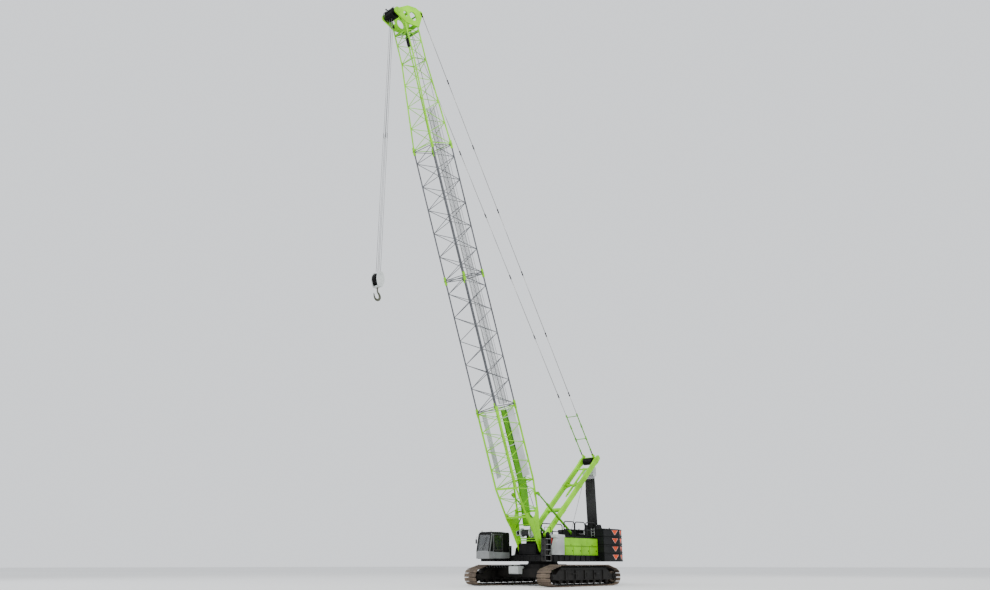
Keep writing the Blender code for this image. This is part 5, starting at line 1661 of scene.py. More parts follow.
# ---------------------------------------------------------------- boom
@dataclass
class Boom:
    """The lattice boom: plated foot, base, two inserts and the top section with its head."""

    kit: Kit
    lean: float = 21.1
    half_width: float = 0.915
    half_depth: float = 1.0
    chord: float = 0.05
    foot_half: float = 0.11
    plate_end: float = 2.3
    foot_spread: float = 0.591
    base_full: float = 4.4
    base_end: float = 9.5
    insert: float = 9.0
    top_end: float = 35.6
    neck: float = 33.6
    head_half: float = 0.65
    head_half_depth: float = 0.625
    head_shift: float = 0.225
    step: float = 0.82
    lacing: float = 0.024
    place: Matrix = field(init=False)

    def build(self) -> None:
        """Build and dress every piece of it."""
        self.place = leaning(pivot("boom_luff"), self.lean)
        self._base()
        self._insert("boom_insert_1", self.base_end, self.base_end + self.insert)
        self._insert("boom_insert_2", self.base_end + self.insert, self.base_end + 2 * self.insert)
        self._top()
        self._joints()
        self._walkway()
        self._signs()
        self._head()
        self._hoist_lead()

    def corners(self, z: float) -> list[tuple[float, float]]:
        """The chords' centres at one height.

        Args:
            z: distance along the boom from its foot.

        Returns:
            Four (x, y) points in order round the section.
        """
        wide = self.half_width - self.chord
        low, high = -self.half_depth + self.chord, self.half_depth - self.chord
        if z < self.base_full:
            share = (z - self.plate_end) / (self.base_full - self.plate_end)
            low = -self.foot_spread + (low + self.foot_spread) * share
            high = self.foot_spread + (high - self.foot_spread) * share
        if z > self.base_end + 2 * self.insert:
            share = min(1.0, (z - 27.5) / (self.neck - 27.5))
            wide += (self.head_half - self.chord - wide) * share
            low += (-self.head_half_depth + self.head_shift + self.chord - low) * share
            high += (self.head_half_depth + self.head_shift - self.chord - high) * share
        return [(-wide, low), (wide, low), (wide, high), (-wide, high)]

    def _chords(self, shape: Shape, start: float, end: float, breaks: Sequence[float] = (),
                size: float = 0.0) -> None:
        """The four chords of one section.

        Args:
            shape: where they are added.
            start: the section's first height.
            end: its last height.
            breaks: heights at which they bend.
            size: their radius, or 0 for the usual one.
        """
        levels = [start, *breaks, end]
        for low, high in zip(levels, levels[1:]):
            for first, last in zip(self.corners(low), self.corners(high)):
                shape.tube((*first, low), (*last, high), size or self.chord, 12)

    def _laces(self, shape: Shape, start: float, end: float, bays: int) -> None:
        """Zigzag lacing on the four faces, with cross members at both ends.

        Args:
            shape: where it is added.
            start: the section's first height.
            end: its last height.
            bays: the number of diagonals on each face.
        """
        heights = [start + (end - start) * bay / bays for bay in range(bays + 1)]
        for face in range(4):
            other = (face + 1) % 4
            for bay in range(bays):
                low, high = self.corners(heights[bay]), self.corners(heights[bay + 1])
                first, last = (low[face], high[other]) if (bay + face) % 2 == 0 else (low[other], high[face])
                shape.tube((*first, heights[bay]), (*last, heights[bay + 1]), self.lacing, 8)
                if bay == 0:
                    shape.tube((*low[face], heights[0]), (*low[other], heights[0]), self.lacing * 1.15, 8)
            high = self.corners(end)
            shape.tube((*high[face], end), (*high[other], end), self.lacing * 1.15, 8)

    def _base(self) -> None:
        """The base section: plated legs from the foot, and lattice above."""
        legs, green, grey = Shape(self.place), Shape(self.place), Shape(self.place)
        for wing in (-1, 1):
            x1 = wing * self.half_width
            outline = [(-0.591 - 0.055, self.plate_end + 0.35), (-0.591 - 0.055, self.plate_end),
                       (-0.42, 1.65), (-0.19, 0.4)]
            outline += arc((0, 0), 0.165, 190, 350, 10)
            outline += [(0.19, 0.4), (0.42, 1.65), (0.591 + 0.055, self.plate_end),
                        (0.591 + 0.055, self.plate_end + 0.35),
                        (0.48, self.plate_end + 0.3), (0.3, self.plate_end - 0.05),
                        (0, self.plate_end - 0.22),
                        (-0.3, self.plate_end - 0.05), (-0.48, self.plate_end + 0.3)]
            bore = arc((0, 0), 0.075, 0, 342, 19)
            legs.sawn([outline, bore], wing * (self.half_width - self.foot_half), x1)
            legs.lathe([(0.0, -0.01), (0.12, -0.01), (0.12, 0.03), (0.07, 0.045), (0, 0.045)],
                       (x1 - wing * 0.005, 0, 0), (wing, 0, 0), 24)
            legs.side([(-0.03, 0.5), (0.03, 0.5), (0.03, 2.2), (-0.03, 2.2)], x1 - wing * 0.01,
                      x1 + wing * 0.02)
        for z, y, radius in ((1.63, 0.2, 0.04), (0.75, 0.06, 0.036), (0.63, 0.0, 0.036)):
            legs.tube((-self.half_width + 0.03, y, z), (self.half_width - 0.03, y, z), radius, 16)
        # The braces take the darker copy of the green paint: painted shade between the legs.
        for wing in (-1, 1):
            green.bar((wing * 0.8, 0.05, 1.5), (0, 0.05, 2.35), 0.07, 0.07, (0, 1, 0))
        self._chords(grey, self.plate_end + 0.05, self.base_end, (self.base_full,), 0.064)
        for face in (0, 2):
            for z in (self.plate_end + 0.1, self.base_full):
                first, last = self.corners(z)[face], self.corners(z)[face + 1]
                grey.bar((*first, z), (*last, z), 0.12, 0.1, (0, 0, 1))
        for wing in (-1, 1):
            grey.tube((wing * 0.87, 3.5 / 4.4, 3.5), (wing * 1.13, 3.5 / 4.4, 3.5), 0.04, 14)
            grey.side([(0.6, 3.3), (0.9, 3.42), (0.9, 3.58), (0.6, 3.7)], wing * 0.9, wing * 0.93)
        self._laces(grey, self.plate_end + 0.25, self.base_full, 3)
        self._laces(grey, self.base_full, self.base_end - 0.06, 8)
        self.kit.place("boom_base_legs", legs, GREEN, "boom", ["boom_base"])
        self.kit.place("boom_base_braces", green, SHADED_GREEN, "boom")
        self.kit.place("boom_base_lattice", grey, GREEN, "boom")

    def _insert(self, name: str, start: float, end: float) -> None:
        """A parallel section.

        Args:
            name: the CAD node that it stands for.
            start: its first height.
            end: its last height.
        """
        shape = Shape(self.place)
        self._chords(shape, start, end)
        self._laces(shape, start + 0.06, end - 0.06, round((end - start) / self.step))
        self.kit.place(name + "_lattice", shape, SECTION_GREY, "boom", [name])

    def _top(self) -> None:
        """The top section, tapering to the head."""
        shape = Shape(self.place)
        start = self.base_end + 2 * self.insert
        self._chords(shape, start, self.top_end, (self.neck,))
        self._laces(shape, start + 0.06, self.neck, 8)
        self._laces(shape, self.neck, self.top_end, 3)
        for x, y in self.corners(self.top_end):
            shape.tube((x, y, self.top_end - 0.02), (x, y * 0.97, 36.3), self.chord, 12)
        self.kit.place("boom_top_lattice", shape, GREEN, "boom", ["boom_top"])

    def _joints(self) -> None:
        """Pin-and-fork connectors with bright pins on the four chords at each section's end."""
        green, pins = Shape(self.place), Shape(self.place)
        for level in (self.base_end, self.base_end + self.insert, self.base_end + 2 * self.insert):
            for x, y in self.corners(level):
                green.box((x - 0.07, y - 0.07, level - 0.28), (x + 0.07, y + 0.07, level - 0.02), 0.02)
                green.box((x - 0.07, y - 0.07, level + 0.02), (x + 0.07, y + 0.07, level + 0.28), 0.02)
                for dx in (-0.05, 0.0, 0.05):
                    green.box((x + dx - 0.012, y - 0.065, level - 0.1),
                              (x + dx + 0.012, y + 0.065, level + 0.1), 0.01)
                pins.tube((x - 0.1, y, level), (x + 0.1, y, level), 0.036, 12)
                pins.tube((x - 0.115, y, level), (x - 0.095, y, level), 0.05, 12)
        self.kit.place("boom_connectors", green, GREEN, "boom")
        self.kit.place("boom_connector_pins", pins, STEEL, "boom")

    def _walkway(self) -> None:
        """A mesh walkway with side rails inside the back face: in the base section the darker green paint, a
        painted shade, and pale above it.
        """
        for name, finish, start, end, half, slat in (("boom_base_walkway", SHADED_GREEN, 1.55, 9.3, 0.33,
                                                      0.09),
                                                     ("boom_walkway", MESH_GREY, 9.7, 30.5, 0.32, 0.04)):
            shape = Shape(self.place)
            for wing in (-1, 1):
                foot, top = (wing * half, self._back(start), start), (wing * half, self._back(end), end)
                bend = (wing * half, self._back(self.base_full), self.base_full)
                if start < self.base_full:
                    shape.bar(foot, bend, 0.03, 0.08)
                    foot = bend
                shape.bar(foot, top, 0.03, 0.08)
            for number in range(int((end - start) / 0.085)):
                z = start + 0.085 * number
                shape.bar((-half, self._back(z), z), (half, self._back(z), z), slat, 0.012, (0, 0, 1))
            for x in (-half / 3, half / 3):
                foot = (x, self._back(max(start, self.base_full)), max(start, self.base_full))
                shape.bar(foot, (x, self._back(end), end), 0.02, 0.02)
            self.kit.place(name, shape, finish, "boom")

    def _back(self, z: float) -> float:
        """Where the walkway lies behind the boom's middle.

        Args:
            z: the height along the boom.

        Returns:
            Its y in the boom's frame.
        """
        if z < self.plate_end:
            return (self.foot_spread - 0.2) * z / self.plate_end
        return self.corners(z)[2][1] - 0.13

    def _signs(self) -> None:
        """Blank grey panels on both sides of the base section, and the winch between its legs."""
        shape = Shape(self.place)
        for wing, start, end, front, back in ((1, 4.8, 9.3, 0.0, 0.72), (-1, 5.0, 9.3, -0.6, -0.15)):
            x = wing * (self.half_width - self.chord - 0.01)
            shape.side([(front, start), (back, start), (back, end), (front, end)], x - 0.006, x + 0.006)
            for z in (start + 0.4, (start + end) / 2, end - 0.4):
                shape.tube((x, -0.9, z), (x, 0.9, z), 0.02, 8)
        self.kit.place("boom_sign_panels", shape, PALE, "boom")
        spool, rope = Shape(self.place), Shape(self.place)
        spool.lathe([(0, -0.42), (0.3, -0.42), (0.3, -0.36), (0.16, -0.35), (0.16, 0.35), (0.3, 0.36),
                     (0.3, 0.42), (0, 0.42)],
                    (0, 0.05, 1.14), (1, 0, 0), 32)
        for wing in (-1, 1):
            spool.box((wing * 0.42, -0.1, 0.99), (wing * 0.76, 0.2, 1.29), 0.03)
            spool.bolts((wing * 0.42, 0.05, 1.14), (wing, 0, 0), 0.24, 8, 0.016)
        for ring in range(20):
            x = -0.33 + ring * 0.034
            rope.lathe([(0.14, -0.016), (0.2, -0.016), (0.212, 0), (0.2, 0.016), (0.14, 0.016)],
                       (x, 0.05, 1.14), (1, 0, 0), 28)
        self.kit.place("boom_winch", spool, PALE, "boom")
        self.kit.place("boom_winch_rope", rope, ROPE, "boom")

    def _head(self) -> None:
        """Side plates with cut-outs, cross tubes, the sheaves' guard and a limit switch."""
        green, shaded_parts, black = Shape(self.place), Shape(self.place), Shape(self.place)
        outline = [(-0.62, 36.3), (-0.3, 36.05), (0.86, 35.9),
                   (1.3, 36.56)] + arc((1.38, 36.98), 0.16, -60, 120, 8)
        outline += [(0.98, 37.3), (0.2, 37.35)] + arc((-0.85, 36.77), 0.3, 60, 200, 10)
        large = arc((0.5, 36.62), 0.32, 0, 345, 23)
        small = arc((-0.18, 36.7), 0.2, 0, 340, 17)
        for wing in (-1, 1):
            low, high = wing * 0.58, wing * 0.68
            green.sawn([outline, large, small], low, high)
            green.lathe([(0, -0.003), (0.12, -0.003), (0.12, 0.02), (0.07, 0.035), (0, 0.035)],
                        (wing * 0.68, -0.85, 36.77), (wing, 0, 0), 22)
            green.bolts((wing * 0.68, -0.85, 36.77), (wing, 0, 0), 0.17, 8, 0.018)
            for y in (0.5, 0.82):
                tip = [(y - 0.1, 37.25), (y + 0.1, 37.25), (y + 0.02, 37.34), (y - 0.02, 37.34)]
                green.side(tip, wing * 0.5, wing * 0.57)
        # The cross tubes take the darker copy of the green paint: painted shade between the side plates.
        for y, z, radius in ((0.55, 35.95, 0.14), (0.6, 37.1, 0.1), (-0.3, 35.65, 0.07), (0.7, 35.65, 0.07)):
            shaded_parts.tube((-0.6, y, z), (0.6, y, z), radius, 18)
        shaded_parts.tube((-0.68, 1.38, 36.98), (0.68, 1.38, 36.98), 0.058, 16)
        shaded_parts.bar((-0.58, -0.4, 35.62), (0.58, 0.85, 35.62), 0.08, 0.08, (0, 0, 1))
        shaded_parts.bar((0.58, -0.4, 35.62), (-0.58, 0.85, 35.62), 0.08, 0.08, (0, 0, 1))
        for wing in (-1, 1):
            guard = arc((-0.85, 36.77), 0.4, 95, 262, 12)
            inner = arc((-0.85, 36.77), 0.37, 262, 95, 12)
            black.side(guard + inner, wing * 0.36, wing * 0.42)
        for angle in (110, 150, 190, 230):
            y, z = -0.85 + 0.385 * cos(radians(angle)), 36.77 + 0.385 * sin(radians(angle))
            black.tube((-0.42, y, z), (0.42, y, z), 0.014, 8)
        black.tube((-0.42, -0.85, 36.77), (-0.59, -0.85, 36.77), 0.09, 16)
        black.tube((0.42, -0.85, 36.77), (0.59, -0.85, 36.77), 0.09, 16)
        self.kit.place("boom_head_plates", green, GREEN, "boom")
        self.kit.place("boom_head_tubes", shaded_parts, SHADED_GREEN, "boom")
        self._nozzle(black)
        self.kit.place("boom_head_guard", black, BLACK, "boom")
        self._head_sheaves()
        self._limit_switch()

    def _nozzle(self, shape: Shape) -> None:
        """The rope guide's short nozzle ahead of the sheaves, and the fitting that hangs below them.

        Args:
            shape: where they are added.
        """
        shape.tube((0.1, -1.2, 36.95), (0.1, -1.4, 37.02), 0.035, 12)
        shape.tube((0.1, -1.36, 36.99), (0.1, -1.42, 37.03), 0.055, 12)
        shape.tube((-0.3, -0.62, 36.5), (-0.3, -0.62, 36.2), 0.02, 8)
        shape.lathe([(0, 0), (0.05, 0), (0.06, 0.03), (0.06, 0.2), (0, 0.22)], (-0.3, -0.62, 36.0),
                    (0, 0, 1), 14)

    def _head_sheaves(self) -> None:
        """Grooved sheaves on the head's axle."""
        low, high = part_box("head_sheaves")
        centre = pivot("head_sheave_spin")
        shape = Shape()
        sheave_row(shape, centre, low.x, high.x, (high.z - low.z) / 2, 5)
        self.kit.place("head_sheave_row", shape, BLACK, "head_sheaves", ["head_sheaves"])

    def _limit_switch(self) -> None:
        """The hoist limit switch inside the lattice below the head, on its hanger."""
        shape = Shape(self.place)
        shape.tube((0.5, 0.15, 35.62), (-0.5, 0.15, 35.62), 0.025, 8)
        shape.tube((0, 0.15, 35.62), (0, 0.15, 35.25), 0.02, 8)
        shape.lathe([(0, 0), (0.1, 0), (0.13, 0.04), (0.13, 0.5), (0.08, 0.58), (0, 0.58)], (0, 0.15, 34.7),
                    (0, 0, 1), 18)
        self.kit.place("limit_switch", shape, BLACK, "boom")
        lead = Shape(self.place)
        lead.sweep([(0.42, self.half_depth - 0.1, 5.0 + 3.0 * k) for k in range(10)], 0.012, 6)
        self.kit.place("boom_cable", lead, RUBBER, "boom")

    def _hoist_lead(self) -> None:
        """The hoist rope from the deck winch up behind the boom and over the head's guide sheave."""
        low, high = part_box("hoist_drum")
        drum = (low + high) / 2
        top = self.place @ Vector((0.12, 0.55, 35.9))
        guide = self.place @ Vector((0.12, 0.74, 7.2))
        shape = Shape()
        start = Vector((0.05, drum.y - 0.2, drum.z + 0.17))
        path = [start.lerp(guide, k / 8) for k in range(9)] + [guide.lerp(top, k / 10) for k in range(1, 11)]
        shape.sweep(path, 0.018, 8)
        piece = self.kit.place("hoist_rope_lead", shape, ROPE, None)
        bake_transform(piece)


def sheave_row(shape: Shape, centre: Vector, low_x: float, high_x: float, radius: float, count: int) -> None:
    """Grooved sheaves side by side on one axle.

    Args:
        shape: where they are added.
        centre: a point on their axle.
        low_x: the row's first end.
        high_x: its last end.
        radius: their radius.
        count: how many there are.
    """
    pitch = (high_x - low_x) / count
    for number in range(count):
        x = low_x + (number + 0.5) * pitch
        half = pitch * 0.44
        profile = [(0, -half), (0.1, -half), (0.1, -half * 0.45), (radius * 0.55, -half * 0.3),
                   (radius * 0.86, -half * 0.5),
                   (radius * 0.9, -half * 0.95), (radius, -half), (radius, -half * 0.8),
                   (radius * 0.9, -half * 0.12),
                   (radius * 0.9, half * 0.12), (radius, half * 0.8), (radius, half),
                   (radius * 0.9, half * 0.95),
                   (radius * 0.86, half * 0.5), (radius * 0.55, half * 0.3), (0.1, half * 0.45),
                   (0.1, half), (0, half)]
        shape.lathe(profile, (x, centre.y, centre.z), (1, 0, 0), 36)
        for hole in range(6):
            angle = tau * hole / 6
            spot = (x, centre.y + radius * 0.55 * cos(angle), centre.z + radius * 0.55 * sin(angle))
            shape.tube((spot[0] - half * 0.5, *spot[1:]), (spot[0] + half * 0.5, *spot[1:]), radius * 0.1, 8)
    shape.tube((low_x, centre.y, centre.z), (high_x, centre.y, centre.z), 0.06, 16)


# ---------------------------------------------------------------- mast and stays
@dataclass
class Mast:
    """The mast: two legs, a middle strut, cross tubes, braces and its sheaves."""

    kit: Kit
    lean: float = -48.8
    length: float = 8.75
    spread: float = 0.65
    leg_width: float = 0.2

    def build(self) -> None:
        """Build and dress every piece of it."""
        place = leaning(pivot("mast_luff"), self.lean)
        legs, tubes, dark = Shape(place), Shape(place), Shape(place)
        tip, x = self.length, self.spread
        half = self.leg_width / 2
        for wing in (-1, 1):
            foot = arc((0, 0), 0.17, 180, 360, 10)
            outline = foot + [(0.17, 1.2), (0.17, tip - 0.9), (0.22, tip - 0.5)]
            outline += [(0.16, tip - 0.02), (0.06, tip), (-0.06, tip), (-0.16, tip - 0.02),
                        (-0.22, tip - 0.5), (-0.17, tip - 0.9), (-0.17, 1.2)]
            legs.side(outline, wing * (x - half), wing * (x + half), 0.018)
            for z in (2.6, 5.4):
                legs.side([(-0.18, z - 0.2), (0.18, z - 0.2), (0.18, z + 0.2), (-0.18, z + 0.2)],
                          wing * (x - half - 0.012), wing * (x + half + 0.012), 0.01)
            dark.lathe([(0, 0), (0.1, 0), (0.1, 0.025), (0, 0.03)], (wing * (x + half - 0.003), 0, 0),
                       (wing, 0, 0), 20)
            dark.bolts((wing * (x + half), 0, tip - 0.5), (wing, 0, 0), 0.13, 8, 0.016)
            tubes.bar((wing * (x - 0.1), 0, 5.0), (wing * 0.06, 0, 5.4), 0.08, 0.07, (0, 1, 0))
            tubes.bar((wing * (x - 0.1), 0, 5.75), (wing * 0.06, 0, 5.4), 0.08, 0.07, (0, 1, 0))
            legs.side([(-0.15, tip - 0.34), (-0.5, tip - 0.38), (-0.5, tip - 0.22), (-0.15, tip - 0.05)],
                      wing * 0.39, wing * 0.45, 0.01)
        tubes.tube((-x + half, 0, 2.6), (x - half, 0, 2.6), 0.14, 20)
        tubes.tube((-x + half, 0, 5.4), (x - half, 0, 5.4), 0.08, 18)
        tubes.tube((-x + half, 0, tip - 0.12), (x - half, 0, tip - 0.12), 0.09, 18)
        tubes.tube((0.12, 0, 4.3), (0.12, 0, tip - 1.4), 0.075, 16)
        tubes.tube((0.12, 0, 4.1), (0.12, 0, 4.32), 0.05, 16)
        tubes.tube((-x + half, 0, tip - 1.45), (x - half, 0, tip - 1.45), 0.06, 14)
        self.kit.place("mast_legs", legs, GREEN, "mast", ["mast"])
        self.kit.place("mast_struts", tubes, GREEN, "mast")
        self.kit.place("mast_bolts", dark, BLACK, "mast")
        self._raising_rope(place)
        low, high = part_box("mast_sheaves")
        row = Shape()
        sheave_row(row, pivot("mast_sheave_spin"), low.x, high.x, (high.z - low.z) / 2, 6)
        self.kit.place("mast_sheave_row", row, BLACK, "mast_sheaves", ["mast_sheaves"])


    def _raising_rope(self, place: Matrix) -> None:
        """The thin rope that runs from the deck up to the mast.

        Args:
            place: the mast's frame.
        """
        start, end = Vector((0.5, 2.35, 2.98)), place @ Vector((0.5, 0.0, 6.6))
        shape = Shape()
        shape.sweep([start.lerp(end, step / 12) for step in range(13)], 0.012, 8)
        piece = self.kit.place("mast_raising_rope", shape, ROPE, None)
        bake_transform(piece)


@dataclass
class Stays:
    """Pendants, luffing ropes and backstops."""

    kit: Kit
    rope: float = 0.015
    rows: int = 18
    pitch: float = 0.048

    def build(self) -> None:
        """Build and dress every piece of it."""
        self._pendants()
        self._luffing_ropes()
        self._backstops()

    @staticmethod
    def _across(wing: int, z: float, length: float) -> float:
        """How far out a pendant runs: it narrows from the boom's head to the mast's.

        Args:
            wing: 1 or -1, the pendant's side.
            z: the distance from the boom's head.
            length: the pendant's length.

        Returns:
            Its x.
        """
        head, tail = wing * 0.705, wing * 0.456
        return head + (tail - head) * z / length

    def _pendants(self) -> None:
        """Two pendants of round bars with dark couplings, spread outside the boom's lugs."""
        start = pivot("pendant_swing")
        mast_place = leaning(pivot("mast_luff"), -48.8)
        end = mast_place @ Vector((0, -0.42, 8.45))
        place, length = aimed(start, end)
        bars, links, starts = Shape(place), Shape(place), Shape(place)
        couplings = 7
        for wing in (-1, 1):
            levels = [0.16 + (length - 0.32) * k / couplings for k in range(couplings + 1)]
            for low, high in zip(levels, levels[1:]):
                bars.tube((self._across(wing, low + 0.12, length), 0, low + 0.12),
                          (self._across(wing, high - 0.12, length), 0, high - 0.12), 0.024, 10)
            for step in range(3):
                low, high = length - 3.3 + step, length - 2.42 + step
                starts.tube((self._across(wing, low, length), 0, low),
                            (self._across(wing, high, length), 0, high), 0.04, 10)
                for spot in (low, high):
                    starts.bar((self._across(wing, spot, length), 0, spot - 0.09),
                               (self._across(wing, spot, length), 0, spot + 0.09), 0.07, 0.11)
            for z in levels:
                ends = [z - 0.16, z + 0.16]
                for side in (-1, 1):
                    links.bar((self._across(wing, ends[0], length) + side * 0.017, 0, ends[0]),
                              (self._across(wing, ends[1], length) + side * 0.017, 0, ends[1]), 0.014, 0.085)
                for spot in (z - 0.11, z + 0.11):
                    links.tube((self._across(wing, spot, length) - 0.035, 0, spot),
                               (self._across(wing, spot, length) + 0.035, 0, spot), 0.03, 10)
        for distance in (1.35, 3.2):
            z = length - distance
            reach = 0.456 + (0.705 - 0.456) * distance / length
            starts.tube((-reach, 0, z), (reach, 0, z), 0.03, 10)
        self.kit.place("pendant_bars", bars, STEEL, "pendants", ["pendants"])
        self.kit.place("pendant_links", links, BLACK, "pendants")
        # The start bars take the darker copy of the green paint: painted shade.
        self.kit.place("pendant_start_bars", starts, SHADED_GREEN, "pendants")

    def _luffing_ropes(self) -> None:
        """The luffing gear's three sets of falls, and the pale block of sheaves below the mast's head."""
        start, end = pivot("luffing_rope_swing"), pivot("mast_sheave_spin")
        place, length = aimed(start, end)
        for name in ("lower", "middle", "upper"):
            node = "luffing_ropes_" + name
            ropes = Shape(place)
            low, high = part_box(node)
            turned = place.inverted()
            middle = (low.y + high.y) / 2
            base, tip = ((turned @ Vector((0, middle, z))).z for z in (low.z, high.z))
            y = {"lower": -0.034, "middle": 0.0, "upper": 0.034}[name]
            for row in range(self.rows):
                x = (row - (self.rows - 1) / 2) * self.pitch
                ropes.tube((x, y, max(base, 0.065)), (x, y, min(tip, length - 0.3)), self.rope, 8)
            self.kit.place(node + "_falls", ropes, ROPE, node, [node])
        block = Shape(place)
        for wing in (-1, 1):
            cheek = rounded((-0.2, length - 1.12), (0.2, length - 0.42), 0.1)
            block.side(cheek, wing * 0.44, wing * 0.48, 0.01)
            block.bolts((wing * 0.48, 0, length - 0.77), (wing, 0, 0), 0.1, 8, 0.014)
        for z in (length - 1.02, length - 0.5):
            block.tube((-0.44, 0.13, z), (0.44, 0.13, z), 0.02, 10)
            block.tube((-0.44, -0.13, z), (0.44, -0.13, z), 0.02, 10)
        block.side(rounded((0.13, length - 1.0), (0.16, length - 0.5), 0.01), -0.44, 0.44)
        block.side(rounded((-0.16, length - 1.0), (-0.13, length - 0.5), 0.01), -0.44, 0.44)
        self.kit.place("luffing_upper_block", block, PALE, "luffing_ropes_upper")

    def _backstops(self) -> None:
        """Two telescoping struts with glands, and an eye on each rod."""
        start = pivot("backstop_swing")
        boom_place = leaning(pivot("boom_luff"), 21.1)
        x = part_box("backstop_tubes")[1].x - 0.085
        head = boom_place @ Vector((0, 3.5 / 4.4, 3.5))
        place, length = aimed(start, head)
        tubes, rods = Shape(place), Shape(place)
        for wing in (-1, 1):
            spot = wing * x
            tubes.lathe([(0, 0.1), (0.06, 0.1), (0.083, 0.16), (0.083, 3.04), (0.092, 3.06), (0.092, 3.17),
                         (0.07, 3.195),
                         (0, 3.195)], (spot, 0, 0), (0, 0, 1), 20)
            tubes.side(arc((0, 0), 0.1, 180, 360, 10) + [(0.07, 0.2), (-0.07, 0.2)], spot - 0.045,
                       spot + 0.045, 0.01)
            rods.tube((spot, 0, 3.0), (spot, 0, length - 0.1), 0.05, 16)
            eye = arc((0, length), 0.1, 0, 180, 12) + [(-0.07, length - 0.22), (0.07, length - 0.22)]
            rods.sawn([eye, arc((0, length), 0.062, 0, 345, 23)], spot - 0.045, spot + 0.045)
        # Barrels and plungers take the darker copy of the green paint: painted shade.
        self.kit.place("backstop_barrels", tubes, SHADED_GREEN, "backstop_tubes", ["backstop_tubes"])
        self.kit.place("backstop_plungers", rods, SHADED_GREEN, "backstop_rods", ["backstop_rods"])


# ---------------------------------------------------------------- hook block
@dataclass
class HookGear:
    """The hoist falls, the hook block with its sheaves, and the forged hook."""

    kit: Kit
    rope: float = 0.013
    sheave_z: float = 17.3
    hook_top: float = 16.75
    throat: float = 16.1997

    def build(self) -> None:
        """Build and dress every piece of it."""
        self._falls()
        self._block()
        self._hook()

    def _falls(self) -> None:
        """The hoist ropes, as two sets of falls that slide past each other."""
        for node, body in (("hoist_ropes_upper", "hoist_ropes"), ("hoist_ropes_lower", "hook_block")):
            low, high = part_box(node)
            shape = Shape()
            y = (low.y + high.y) / 2
            for x in (low.x + self.rope * 1.4, high.x - self.rope * 1.4):
                for shift in (-0.06, 0.06):
                    shape.tube((x, y + shift, low.z + 0.002), (x, y + shift, high.z - 0.002), self.rope, 8)
            self.kit.place(node + "_falls", shape, FALL, body, [node])

    def _block(self) -> None:
        """Cheeks, side weights, bolts and sheaves."""
        low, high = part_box("hook_block")
        y = (low.y + high.y) / 2
        cheeks, weights = Shape(), Shape()
        half = (high.x - low.x) / 2
        depth = (high.y - low.y) / 2
        z = self.sheave_z
        top, foot = high.z - 0.02, low.z + 0.02
        outline = [(y - depth * 0.72, z - 0.12), (y - depth * 0.7, z + 0.14), (y - depth * 0.5, z + 0.34),
                   (y - depth * 0.22, top), (y + depth * 0.22, top), (y + depth * 0.5, z + 0.34),
                   (y + depth * 0.7, z + 0.14), (y + depth * 0.72, z - 0.12), (y + depth * 0.5, foot + 0.1),
                   (y + depth * 0.34, foot), (y - depth * 0.34, foot), (y - depth * 0.5, foot + 0.1)]
        band = [(a + (y - a) * 0.2, b + (z - b) * 0.16) for a, b in outline]
        for wing in (-1, 1):
            cheeks.side(outline, wing * (half - 0.05), wing * half, 0.012)
            weights.side(band, wing * (half - 0.1), wing * (half - 0.045), 0.012)
            for height in (z + 0.26, z - 0.3):
                cheeks.side(rounded((y - 0.09, height - 0.03), (y + 0.09, height + 0.03), 0.02),
                            wing * (half - 0.002), wing * (half + 0.012), 0.004)
            cheeks.lathe([(0, -0.002), (0.1, -0.002), (0.1, 0.012), (0.05, 0.02), (0, 0.02)],
                         (wing * (half - 0.01), y, z), (wing, 0, 0), 20)
            cheeks.bolts((wing * (half - 0.004), y, z), (wing, 0, 0), 0.15, 6, 0.016, 0.01)
        cheeks.tube((-half + 0.02, y, high.z - 0.1), (half - 0.02, y, high.z - 0.1), 0.03, 12)
        cheeks.box((-half + 0.03, y - 0.1, low.z), (half - 0.03, y + 0.1, low.z + 0.14), 0.02)
        self.kit.place("hook_block_cheeks", cheeks, PALE, "hook_block", ["hook_block"])
        self.kit.place("hook_block_weights", weights, BLACK, "hook_block")
        low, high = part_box("hook_sheaves")
        row = Shape()
        sheave_row(row, pivot("hook_sheave_spin"), low.x, high.x, (high.z - low.z) / 2, 2)
        self.kit.place("hook_sheave_row", row, BLACK, "hook_sheaves", ["hook_sheaves"])

    def _hook(self) -> None:
        """A forged hook with a thick round section that tapers to its tip, its shank, and a latch."""
        low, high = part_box("hook")
        shape, latch = Shape(), Shape()
        x = (low.x + high.x) / 2
        centre = self.throat
        middle = pivot("hook_swivel").y
        spine = [(0.0, 0.42, 0.045), (0.01, 0.33, 0.05), (0.06, 0.25, 0.058), (0.14, 0.18, 0.066),
                 (0.2, 0.08, 0.076),
                 (0.215, -0.03, 0.082), (0.17, -0.14, 0.084), (0.07, -0.205, 0.08), (-0.05, -0.205, 0.072),
                 (-0.15, -0.14, 0.06), (-0.205, -0.03, 0.048), (-0.235, 0.08, 0.036), (-0.26, 0.16, 0.022)]
        rings = []
        for index, (offset, height, thick) in enumerate(spine):
            before, after = spine[max(index - 1, 0)], spine[min(index + 1, len(spine) - 1)]
            heading = Vector((0, after[0] - before[0], after[1] - before[1])).normalized()
            out = Vector((1, 0, 0)).cross(heading)
            spot = Vector((x, middle + offset, centre + height))
            rings.append([spot + (Vector((0.8, 0, 0)) * cos(tau * k / 14) + out * sin(tau * k / 14)) * thick
                          for k in range(14)])
        shape.loft(rings, smooth=True)
        top = self.hook_top - centre - 0.4
        shape.lathe([(0, 0), (0.045, 0), (0.045, top * 0.5), (0.06, top * 0.6), (0.06, top), (0, top)],
                    (x, middle, centre + 0.4), (0, 0, 1), 20, True)
        self.kit.place("forged_hook", shape, HOOK_OLIVE, "hook", ["hook"])
        latch.bar((x, middle + 0.05, centre + 0.22), (x, middle - 0.2, centre + 0.1), 0.03, 0.01)
        self.kit.place("hook_latch", latch, STEEL, "hook")


